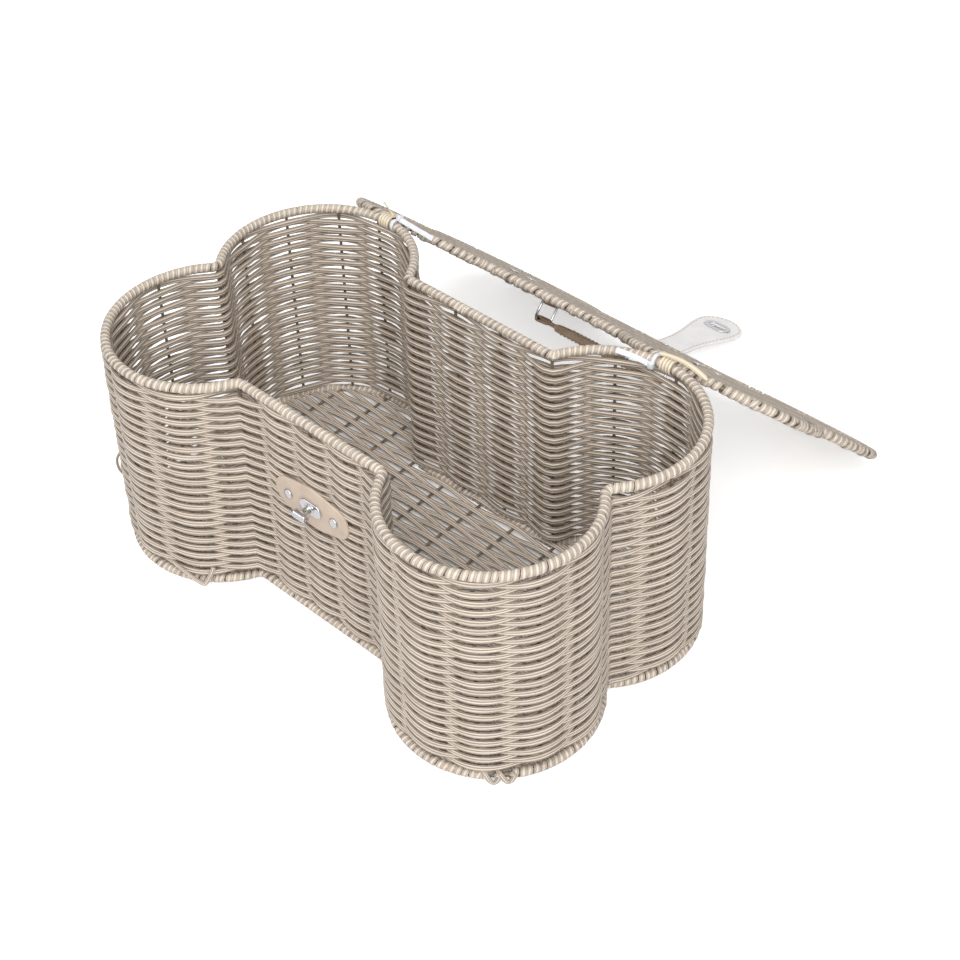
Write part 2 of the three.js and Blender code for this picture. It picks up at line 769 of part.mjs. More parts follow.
// The tongue's frame is on the fold: it runs to -Y, and +Z is the lid's outer side.
function tabTongue() {
  const shape = new THREE.Shape();
  shape.moveTo(tabNeck / 2, 0);
  shape.lineTo(-tabNeck / 2, 0);
  shape.bezierCurveTo(-tabNeck / 2, -slotReach / 2, -tabBulb / 2, -slotReach / 2, -tabBulb / 2, -slotReach);
  shape.absarc(0, -slotReach, tabBulb / 2, Math.PI, 2 * Math.PI, false);
  shape.bezierCurveTo(tabBulb / 2, -slotReach / 2, tabNeck / 2, -slotReach / 2, tabNeck / 2, 0);
  const options = { depth: tabThickness, bevelEnabled: false, curveSegments: turnSides };
  const sheet = new THREE.ExtrudeGeometry(shape, options).translate(0, 0, -tabThickness / 2);
  const root = bar(tabThickness / 2, [-tabNeck / 2, 0, 0], [tabNeck / 2, 0, 0]);
  return cut(join(sheet, root), slotPrism(fitGap));
}

function slotPrism(gap) {
  const shape = shapeOf(stadium(slotLength, slotWidth), gap);
  return plate(shape, 2 * tabStack).translate(0, -slotReach, -tabStack);
}

function slotFrame(low) {
  const outer = shapeOf(stadium(slotLength, slotWidth), slotBorder);
  return cut(plate(outer, slotPlate).translate(0, -slotReach, low), slotPrism(0));
}

// Rest pose: the lid's far lobes lie on the floor, and so does the tongue's tip

function restSlope() {
  const clearance = (slope) =>
    rimZ - barSpacing * Math.sin(slope / 2) - 2 * lidHalf * Math.sin(slope) - ringCornerRadius - restGap;
  let low = 0;
  let high = Math.PI / 2;
  for (let i = 0; i < slopeHalvings; i++) {
    const middle = (low + high) / 2;
    if (clearance(middle) > 0) low = middle;
    else high = middle;
  }
  return low;
}

const lidSlope = restSlope();
const halfOpen = (Math.PI + lidSlope) / 2;
const lidBarZ = rimZ - barSpacing * Math.sin(lidSlope / 2);
const foldZ = lidBarZ - foldReach * Math.sin(lidSlope) - foldHeight * Math.cos(lidSlope);
// A tongue too short to reach the floor would hang straight down.
const tongueSlope =
  Math.asin(Math.min(1, (foldZ - restGap) / Math.hypot(tongueLength, tabThickness / 2))) -
  Math.atan2(tabThickness / 2, tongueLength);
const tongueBend = lidSlope - tongueSlope;

// Assembly

function addBasket(group) {
  const room = basketFrame(fitGap);
  const hingeRooms = [-lobeX, lobeX].map((x) =>
    bar(hingeSweep, [x - hingeRoomHalf, halfWidth, rimZ], [x + hingeRoomHalf, halfWidth, rimZ]),
  );
  const holes = lockRivets.map(([, x]) => rivetHole([x, -patchFront, lockHeight], [x, 0, lockHeight]));
  const wallLow = baseZ + ringRadius + fitGap;
  const wallHigh = rimZ - ringRadius - fitGap;
  const wall = wovenWall(wallLow, wallHigh);
  const floor = plate(shapeOf(outline, -panelInset), weaveThickness);
  addMesh(group, "basket_wire_frame", basketFrame(0), materials.steel);
  addMesh(group, "woven_wall", cut(wall, room, ...hingeRooms, ...holes), materials.rattan);
  addMesh(group, "woven_floor", cut(floor, room), materials.rattan);
  addMesh(group, "rim_binding", rimBinding(), materials.rattan);
  addMesh(group, "base_binding", baseBinding(), materials.rattan);
}

function addLock(group) {
  addMesh(group, "lock_patch", lockPatch(), materials.leather);
  addMesh(group, "lock_plate", lockPlate(), materials.chrome);
  const knob = addGroup(group, "knob", [0, -plateFront, lockHeight], Math.PI / 2);
  addMesh(knob, "lock_knob", lockKnob(), materials.chrome);
  const washerFar = wallInside - fitGap - washer.thickness;
  for (const [side, x] of lockRivets) {
    const seat = addGroup(group, "lock_fastener_" + side, [x, -plateFace, lockHeight], Math.PI / 2);
    const grasp = plateFace - washerFar;
    addMesh(seat, "lock_rivet_" + side, rivet(grasp), materials.chrome);
    addMesh(seat, "lock_washer_" + side, washerRing().translate(0, 0, -grasp), materials.chrome);
  }
}

function addHingeLinks(group) {
  for (const [side, sign] of [["left", -1], ["right", 1]]) {
    const hinge = addGroup(group, "hinge_" + side, [sign * lobeX, 0, 0]);
    addMesh(hinge, "hinge_binding_" + side, strandWinding(), materials.strand);
    const tie = addGroup(hinge, "tie_" + side, [-sign * tieOffset, 0, 0]);
    addMesh(tie, "cable_tie_" + side, cableTie(-sign), materials.nylon);
  }
}

// Rivets through the lid, as [kind, name, x, y, height of the head's seat].
function lidFasteners() {
  const list = tabRivetPoints().map(([side, x, y]) => ["tab", side, x, y, strapTop + fitGap]);
  for (const [side, sign] of [["left", -1], ["right", 1]]) {
    chapeRivets.forEach((reach, i) => {
      const x = sign * (handleSpan / 2 + reach);
      list.push(["chape", side + "_" + (i + 1), x, -lidHalf, chapeTop + fitGap]);
    });
  }
  return list;
}

function addLid(group) {
  const room = lidFrame(fitGap);
  const hingeRooms = [-lobeX, lobeX].map((x) =>
    bar(hingeSweep, [x - hingeRoomHalf, lidHalf, 0], [x + hingeRoomHalf, lidHalf, 0]),
  );
  const holes = lidFasteners().map(([, , x, y]) =>
    rivetHole([x, y + lidHalf, -weaveThickness], [x, y + lidHalf, weaveThickness]),
  );
  const panel = wovenPanel(lidOutline, lidFasteners().map(([, , x, y]) => [x, y + lidHalf]));
  const woven = addGroup(group, "lid_panel", [0, -lidHalf, 0]);
  addMesh(woven, "lid_wire_frame", lidFrame(0), materials.steel);
  addMesh(woven, "lid_weave", cut(panel, room, ...hingeRooms, ...holes), materials.rattan);
  addMesh(woven, "lid_binding", lidBinding(), materials.rattan);
  const washerLow = -lidFace - fitGap - washer.thickness;
  for (const [kind, name, x, y, seatHeight] of lidFasteners()) {
    const seat = addGroup(group, kind + "_fastener_" + name, [x, y, seatHeight]);
    const grasp = seatHeight - washerLow;
    addMesh(seat, kind + "_rivet_" + name, rivet(grasp), materials.chrome);
    addMesh(seat, kind + "_washer_" + name, washerRing().translate(0, 0, -grasp), materials.chrome);
  }
}

function addHandle(group) {
  for (const [side, sign] of [["left", -1], ["right", 1]]) {
    const pivot = addGroup(group, "ring_" + side, [(sign * handleSpan) / 2, -lidHalf, ringPivot]);
    addMesh(pivot, "handle_chape_" + side, handleChape(sign), materials.leather);
    addMesh(pivot, "handle_ring_" + side, handleRing(), materials.chrome);
  }
  const grip = addGroup(group, "grip", [-handleSpan / 2, -lidHalf, ringPivot + ringDrop]);
  addMesh(grip, "handle_grip", handleGrip(), materials.grip);
}

function addTab(group) {
  addMesh(group, "tab_strap", tabStrap(), materials.leather);
  const fold = addGroup(group, "tab", [0, -foldReach, foldHeight], tongueBend);
  const faceGap = tabThickness / 2 + fitGap;
  addMesh(fold, "tab_tongue", tabTongue(), materials.lining);
  addMesh(fold, "tab_slot_front", slotFrame(faceGap), materials.chrome);
  addMesh(fold, "tab_slot_back", slotFrame(-faceGap - slotPlate), materials.chrome);
}

const basket = new THREE.Group();
addBasket(basket);
addLock(basket);
const links = addGroup(basket, "hinge_links", [0, halfWidth, rimZ], -halfOpen);
addHingeLinks(links);
const lid = addGroup(links, "lid", [0, 0, barSpacing], -halfOpen);
addLid(lid);
addHandle(lid);
addTab(lid);

export default basket;
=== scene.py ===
"""Dresses the frame of a bone-shaped wicker toy basket with woven strand, leather and plated metal.

Sizes are in millimetres in the part's own frame, with +Z up, and become metres when a mesh is made.
The shared frame gives the joints, so a piece that moves is built where its joint is.
"""

from __future__ import annotations

import json
import logging
import math
from dataclasses import dataclass, field
from enum import Enum

import bpy
import numpy as np
from mathutils import Euler, Matrix, Vector

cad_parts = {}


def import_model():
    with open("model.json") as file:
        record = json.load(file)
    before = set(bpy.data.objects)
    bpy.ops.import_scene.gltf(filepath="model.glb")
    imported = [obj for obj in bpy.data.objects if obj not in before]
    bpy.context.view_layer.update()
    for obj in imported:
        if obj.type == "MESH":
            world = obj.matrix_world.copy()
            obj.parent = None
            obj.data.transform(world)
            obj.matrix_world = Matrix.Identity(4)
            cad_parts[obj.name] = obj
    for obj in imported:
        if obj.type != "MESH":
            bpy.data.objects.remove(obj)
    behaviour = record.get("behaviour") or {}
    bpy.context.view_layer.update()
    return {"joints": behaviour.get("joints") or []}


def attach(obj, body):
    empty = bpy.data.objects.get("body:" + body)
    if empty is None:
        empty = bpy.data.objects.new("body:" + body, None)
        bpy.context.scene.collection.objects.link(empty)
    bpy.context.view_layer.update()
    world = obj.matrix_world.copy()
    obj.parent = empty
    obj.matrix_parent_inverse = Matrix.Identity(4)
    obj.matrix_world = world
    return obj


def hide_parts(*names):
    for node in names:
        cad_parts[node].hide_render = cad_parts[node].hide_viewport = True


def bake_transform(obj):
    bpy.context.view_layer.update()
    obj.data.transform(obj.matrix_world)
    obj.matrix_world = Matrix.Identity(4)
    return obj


LOG = logging.getLogger("basket")
MM = 0.001
SEED = 7
RIM_Z = 212.0
BASE_Z = 4.0
WIRE_PITCH = 43.0
# Height of the lid's inner face, on which its washers lie.
LID_WASHER_FACE = -3.8


class Slot(Enum):
    """The record's material slots."""

    RATTAN = "rattan"
    WIRE = "steel_wire"
    CHROME = "chrome"
    LEATHER = "leather"
    GRIP = "grip_leather"
    TAB = "tab_leather"
    CREAM = "hinge_strand"
    NYLON = "nylon"


class Body(Enum):
    """The bodies that pieces ride on."""

    BASKET = "basket"
    KNOB = "knob"
    LINKS = "hinge_links"
    LID = "lid"
    RING_LEFT = "ring_left"
    RING_RIGHT = "ring_right"
    GRIP = "grip"
    TAB = "tab"


def linear(code: str) -> tuple[float, float, float, float]:
    """Turns an sRGB hex colour into linear light with full alpha."""
    parts = [int(code[k : k + 2], 16) / 255 for k in (1, 3, 5)]
    red, green, blue = (p / 12.92 if p <= 0.04045 else ((p + 0.055) / 1.055) ** 2.4 for p in parts)
    return red, green, blue, 1.0


def unit(vectors: np.ndarray) -> np.ndarray:
    """Scales vectors to length one."""
    return vectors / np.linalg.norm(vectors, axis=-1, keepdims=True)


def distances(path: np.ndarray) -> np.ndarray:
    """How far along a path each of its points lies."""
    return np.concatenate([[0.0], np.cumsum(np.linalg.norm(np.diff(path, axis=0), axis=1))])


def add_object(name: str, data: bpy.types.ID) -> bpy.types.Object:
    """Makes an object of a mesh, lamp or camera and links it to the scene."""
    made = bpy.data.objects.new(name, data)
    bpy.context.scene.collection.objects.link(made)
    return made


@dataclass(frozen=True)
class Place:
    """A right-handed frame inside the part's frame, with its origin in millimetres."""

    origin: np.ndarray
    x: np.ndarray
    y: np.ndarray
    z: np.ndarray

    @classmethod
    def world(cls, x: float = 0.0, y: float = 0.0, z: float = 0.0) -> Place:
        """A frame with the part's own axes."""
        return cls(np.array([x, y, z]), *np.eye(3))

    def put(self, points: np.ndarray) -> np.ndarray:
        """Takes local points to the part's frame."""
        return self.origin + self.turn(points)

    def turn(self, vectors: np.ndarray | tuple[float, ...]) -> np.ndarray:
        """Takes local directions to the part's frame."""
        vectors = np.asarray(vectors, float)
        return vectors[..., 0:1] * self.x + vectors[..., 1:2] * self.y + vectors[..., 2:3] * self.z

    def at(self, x: float, y: float, z: float) -> Place:
        """The same axes with the origin at a local point."""
        return Place(self.put(np.array([x, y, z])), self.x, self.y, self.z)

    def facing(self, x: tuple[float, ...], z: tuple[float, ...]) -> Place:
        """The same origin with local directions as the new X and Z axes."""
        new_x, new_z = unit(self.turn(x)), unit(self.turn(z))
        return Place(self.origin, new_x, np.cross(new_z, new_x), new_z)


@dataclass(frozen=True)
class Layout:
    """Frames of the moving bodies at rest, taken from the joints.

    Attributes:
        links: Frame of the hinge windings, on the rim bar, with +Z towards the lid bar.
        lid: Frame of the lid, on its hinge bar, with +Z out of its outer face.
        tab: Frame of the clasp tongue, on its fold, with +Z out of its outer face.
    """

    links: Place
    lid: Place
    tab: Place
    bar_spacing: float
    hinge_x: float = 161.0
    tongue_length: float = 120.73
    tongue_half: float = 1.25
    floor_gap: float = 0.3

    @classmethod
    def from_joints(cls, joints: list[dict]) -> Layout:
        """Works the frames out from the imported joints.

        Args:
            joints: The frame's joints, with their points in metres.

        Returns:
            The frames at rest.
        """
        where = {joint["name"]: np.array(joint["pos_m"]) / MM for joint in joints}
        axis = {joint["name"]: np.array(joint["axis"], float) for joint in joints}
        x = np.array([1.0, 0.0, 0.0])
        lid_y = axis["ring_left_swing"]
        to_lid = where["lid_fold"] - where["link_swing"]
        links_z = unit(to_lid)
        fold = where["tab_fold"]
        reach = math.hypot(cls.tongue_length, cls.tongue_half)
        tilt = math.atan2(cls.tongue_half, cls.tongue_length)
        slope = math.asin((fold[2] - cls.floor_gap) / reach) - tilt
        tab_y = np.array([0.0, -math.cos(slope), math.sin(slope)])
        return cls(
            links=Place(where["link_swing"], x, np.cross(links_z, x), links_z),
            lid=Place(where["lid_fold"], x, lid_y, np.cross(x, lid_y)),
            tab=Place(fold, x, tab_y, np.cross(x, tab_y)),
            bar_spacing=float(np.linalg.norm(to_lid)),
        )


def add_node(tree: bpy.types.NodeTree, kind: str, inputs: dict | None = None, **settings) -> bpy.types.Node:
    """Adds a node, sets its properties, and links or sets its inputs.

    Args:
        tree: The node tree that takes the node.
        kind: The node's type name.
        inputs: Values or output sockets for its inputs, by name or number.
        settings: Properties of the node.

    Returns:
        The node.
    """
    node = tree.nodes.new(kind)
    for key, value in settings.items():
        setattr(node, key, value)
    for key, value in (inputs or {}).items():
        if isinstance(value, bpy.types.NodeSocket):
            tree.links.new(value, node.inputs[key])
        else:
            node.inputs[key].default_value = value
    return node


class Graph:
    """A material's node tree, with short ways to the sums that the finishes share."""

    def __init__(self, name: str) -> None:
        self.material = bpy.data.materials.new(name)
        self.material.use_nodes = True
        self.tree = self.material.node_tree
        self.tree.nodes.clear()

    def node(self, kind: str, inputs: dict | None = None, **settings) -> bpy.types.Node:
        """Adds a node to this material."""
        return add_node(self.tree, kind, inputs, **settings)

    def math(self, operation: str, *values) -> bpy.types.NodeSocket:
        """The result of a sum on numbers or sockets."""
        return self.node("ShaderNodeMath", dict(enumerate(values)), operation=operation).outputs[0]

    def span(self, value, low: float, high: float, start: float = 0.0, end: float = 1.0) -> bpy.types.NodeSocket:
        """Maps a socket's range from start and end to low and high, held at both ends."""
        inputs = {"Value": value, "From Min": start, "From Max": end, "To Min": low, "To Max": high}
        return self.node("ShaderNodeMapRange", inputs).outputs["Result"]

    def mix(self, factor, first, second, blend: str = "MIX") -> bpy.types.NodeSocket:
        """Mixes two colours."""
        inputs = {"Factor": factor, 6: first, 7: second}
        node = self.node("ShaderNodeMix", inputs, data_type="RGBA", blend_type=blend)
        return node.outputs[2]

    def noise(self, feature: float, detail: float = 3.0, vector=None) -> bpy.types.NodeSocket:
        """Noise whose features are about so many millimetres across."""
        if vector is None:
            vector = self.node("ShaderNodeTexCoord").outputs["Object"]
            scale = 1.0 / (feature * MM)
        else:
            scale = 1.0 / feature
        inputs = {"Vector": vector, "Scale": scale, "Detail": detail}
        return self.node("ShaderNodeTexNoise", inputs).outputs[0]

    def bump(self, height, distance: float, strength: float = 1.0, under=None) -> bpy.types.NodeSocket:
        """A bumped normal, with the height's full depth in millimetres."""
        inputs = {"Height": height, "Distance": distance * MM, "Strength": strength}
        if under is not None:
            inputs["Normal"] = under
        return self.node("ShaderNodeBump", inputs).outputs[0]

    def strand(self) -> tuple[bpy.types.NodeSocket, bpy.types.NodeSocket, bpy.types.NodeSocket]:
        """A strand's angle round its section, its share towards the narrow edge, and millimetres along it."""
        around = self.node("ShaderNodeAttribute", attribute_name="around").outputs["Vector"]
        parts = self.node("ShaderNodeSeparateXYZ", {0: around}).outputs
        return self.math("ARCTAN2", parts[1], parts[0]), self.math("ABSOLUTE", parts[1]), parts[2]

    def patches(self, noise, start: float, end: float, first: str, second: str) -> bpy.types.NodeSocket:
        """Mixes two hex colours by a noise, all the first below start and all the second above end."""
        return self.mix(self.span(noise, 0.0, 1.0, start, end), linear(first), linear(second))

    def surface(self, **inputs) -> bpy.types.Material:
        """Ends the tree in a Principled surface and returns the material."""
        named = {key.replace("_", " ").title().replace("Ior", "IOR"): value for key, value in inputs.items()}
        shader = self.node("ShaderNodeBsdfPrincipled", named)
        self.node("ShaderNodeOutputMaterial", {"Surface": shader.outputs[0]})
        return self.material


@dataclass(frozen=True)
class ExtrudedStrand:
    """Polyethylene rattan, drawn through a toothed die, so fine ribs run along each strand.

    The grooves between the ribs are painted tan against the pale ribs, as painted shade in the grooves, and the
    strand's tone drifts along its length. Its narrow edges, which lie against the next strand, are painted dark, as
    painted shade in the gaps between strands.
    The skin has the low sheen of cooled plastic.
    """

    name: str
    rib: str
    groove: str
    shade: str
    edge: str
    ribs: int = 7
    roughness: float = 0.42

    def material(self) -> bpy.types.Material:
        """Builds the node tree."""
        graph = Graph(self.name)
        angle, edgeward, along = graph.strand()
        tone = graph.node("ShaderNodeAttribute", attribute_name="tone").outputs["Fac"]
        wave = graph.math("COSINE", graph.math("MULTIPLY", angle, float(self.ribs)))
        rib = graph.span(wave, 0.0, 1.0, -1.0, 1.0)
        # Streaks 40 mm long and a few degrees wide, from the die and the melt.
        scaled = ((along, 1.0 / 40.0), (angle, 1.6), (tone, 40.0))
        stretched = {axis: graph.math("MULTIPLY", *pair) for axis, pair in enumerate(scaled)}
        drawn = graph.node("ShaderNodeCombineXYZ", stretched).outputs[0]
        streak = graph.noise(1.0, 4.0, drawn)
        # Painted shade: the grooves between the ribs are coloured darker than the ribs.
        pale = graph.patches(rib, 0.08, 0.6, self.groove, self.rib)
        streaked = graph.mix(graph.span(streak, 0.0, 0.5, 0.46, 0.74), pale, linear(self.shade))
        # Painted shade: the narrow edges, which face the next strand, are darkened as if shaded in the gaps.
        narrow = graph.span(edgeward, 0.0, 0.7, 0.84, 1.0)
        streaked = graph.mix(narrow, streaked, linear(self.edge))
        # One length of strand is a little lighter or darker than the next.
        level = graph.span(tone, 0.9, 1.06)
        grey = graph.node("ShaderNodeCombineColor", {0: level, 1: level, 2: level}).outputs[0]
        colour = graph.mix(1.0, streaked, grey, "MULTIPLY")
        grain = graph.bump(graph.noise(0.5), 0.04, 0.6)
        normal = graph.bump(rib, 0.45, 1.0, grain)
        rough = graph.span(streak, self.roughness - 0.08, self.roughness + 0.1)
        return graph.surface(base_color=colour, roughness=rough, normal=normal, specular_ior_level=0.5)


@dataclass(frozen=True)
class DrawnWire:
    """Round steel wire under a thin lacquer: dull grey-brown, with darker patches where dust has settled."""

    name: str
    colour: str
    patch: str

    def material(self) -> bpy.types.Material:
        """Builds the node tree."""
        graph = Graph(self.name)
        mottle = graph.noise(9.0)
        colour = graph.patches(mottle, 0.35, 0.65, self.colour, self.patch)
        normal = graph.bump(graph.noise(0.6), 0.03, 0.5)
        rough = graph.span(mottle, 0.4, 0.6)
        return graph.surface(base_color=colour, metallic=0.2, roughness=rough, normal=normal)


@dataclass(frozen=True)
class ChromePlate:
    """Chrome plated on a stamped or turned zinc piece, buffed, with faint hairlines and finger haze."""

    name: str
    colour: str

    def material(self) -> bpy.types.Material:
        """Builds the node tree."""
        graph = Graph(self.name)
        haze = graph.noise(5.0)
        hairline = graph.noise(0.25, 2.0)
        rough = graph.span(haze, 0.08, 0.22, 0.3, 0.75)
        normal = graph.bump(hairline, 0.006, 0.5)
        return graph.surface(base_color=linear(self.colour), metallic=1.0, roughness=rough, normal=normal)


@dataclass(frozen=True)
class CoatedLeather:
    """Split leather with a pressed pigment coat: a pebbled grain, soft patches and worn, paler edges."""

    name: str
    colour: str
    patch: str
    edge: str
    grain: float = 0.9
    depth: float = 0.12
    roughness: float = 0.55

    def material(self) -> bpy.types.Material:
        """Builds the node tree."""
        graph = Graph(self.name)
        coordinate = graph.node("ShaderNodeTexCoord").outputs["Object"]
        cells = graph.node("ShaderNodeTexVoronoi", {"Vector": coordinate, "Scale": 1.0 / (self.grain * MM)})
        pebble = graph.span(cells.outputs["Distance"], 0.0, 1.0, 0.0, 0.7)
        cloud = graph.noise(16.0, 4.0)
        colour = graph.patches(cloud, 0.38, 0.66, self.colour, self.patch)
        # The coat rubs thin on the outer edges, where the normals turn fast.
        bend = graph.node("ShaderNodeNewGeometry").outputs["Pointiness"]
        colour = graph.mix(graph.span(bend, 0.0, 0.7, 0.52, 0.6), colour, linear(self.edge))
        soft = graph.bump(graph.noise(3.0), 0.1, 0.4)
        normal = graph.bump(pebble, self.depth, 0.7, soft)
        rough = graph.span(cloud, self.roughness - 0.07, self.roughness + 0.1)
        return graph.surface(base_color=colour, roughness=rough, normal=normal, specular_ior_level=0.4)


@dataclass(frozen=True)
class MouldedNylon:
    """Natural nylon from a mould: milky white, a little light inside, with a satin skin."""

    name: str
    colour: str
    shade: str

    def material(self) -> bpy.types.Material:
        """Builds the node tree."""
        graph = Graph(self.name)
        cloud = graph.noise(6.0)
        colour = graph.patches(cloud, 0.35, 0.7, self.colour, self.shade)
        normal = graph.bump(graph.noise(0.8), 0.03, 0.5)
        return graph.surface(base_color=colour, roughness=graph.span(cloud, 0.28, 0.42), normal=normal,
                             subsurface_weight=0.15, subsurface_scale=0.8 * MM)


@dataclass(frozen=True)
class TwistedThread:
    """Waxed polyester sewing thread, whose two plies show as slanting light and dark bands."""

    name: str
    colour: str
    shade: str

    def material(self) -> bpy.types.Material:
        """Builds the node tree."""
        graph = Graph(self.name)
        angle, _, along = graph.strand()
        # A ply turns by 2.5 radians in each millimetre, so it goes once round in about 2.5 mm.
        turn = graph.math("ADD", angle, graph.math("MULTIPLY", along, 2.5))
        ply = graph.span(graph.math("SINE", turn), 0.0, 1.0, -1.0, 1.0)
        colour = graph.mix(ply, linear(self.shade), linear(self.colour))
        return graph.surface(base_color=colour, roughness=0.7, normal=graph.bump(ply, 0.12))


class Finishes:
    """All the materials of the basket, each made once."""

    def __init__(self) -> None:
        # For each strand the second colour is the painted shade of its grooves and the last is the painted shade of
        # its narrow edges.
        self.rattan = ExtrudedStrand("rattan_extruded_ribbed", "#D8CDC1", "#92806C", "#9B8B77", "#62513F").material()
        self.wrap = ExtrudedStrand("rattan_wrap_extruded", "#D8CEC2", "#B0A08E", "#AC9D8A", "#8A7966", 6).material()
        self.cream = ExtrudedStrand("cream_strand_extruded", "#E6DAC5", "#D3C2A4", "#D3C2A6", "#A38D69", 4,
                                    0.45).material()
        self.wire = DrawnWire("steel_wire_drawn", "#8A7C6C", "#6B5F53").material()
        self.chrome = ChromePlate("chrome_plated_buffed", "#C6C7CA").material()
        self.leather = CoatedLeather("leather_beige_coated", "#C0AF9F", "#B6A291", "#CABBAC").material()
        self.strap = CoatedLeather("leather_strap_coated", "#B0967F", "#9C816A", "#C4AD98").material()
        self.sleeve = CoatedLeather("leather_grip_coated", "#C2A88F", "#AA8E75", "#D0BBA6").material()
        self.tab = CoatedLeather("leather_pale_lining", "#F1EFEE", "#EAE7E6", "#F5F4F3", 0.7, 0.06).material()
        self.nylon = MouldedNylon("nylon_natural_moulded", "#DEE0E4", "#D2D4DA").material()
        self.thread = TwistedThread("thread_polyester_twisted", "#D8CFC2", "#A99B8A").material()


def oval(half_side, half_up, sides: int = 8, square: float = 1.0) -> np.ndarray:
    """Points of one or more ovals.

    Args:
        half_side: Half of the size along the sweep's side direction, one number or one for each point of a path.
        half_up: Half of the size across it, in the same way.
        sides: How many points go round.
        square: Below 1 the oval fills its corners.

    Returns:
        Offsets along side and up, with shape (sides, 2) or (path, sides, 2).
    """
    angle = 2 * np.pi * np.arange(sides) / sides
    first = np.sign(np.cos(angle)) * np.abs(np.cos(angle)) ** square
    second = np.sign(np.sin(angle)) * np.abs(np.sin(angle)) ** square
    return np.stack([np.multiply.outer(half_side, first), np.multiply.outer(half_up, second)], axis=-1)


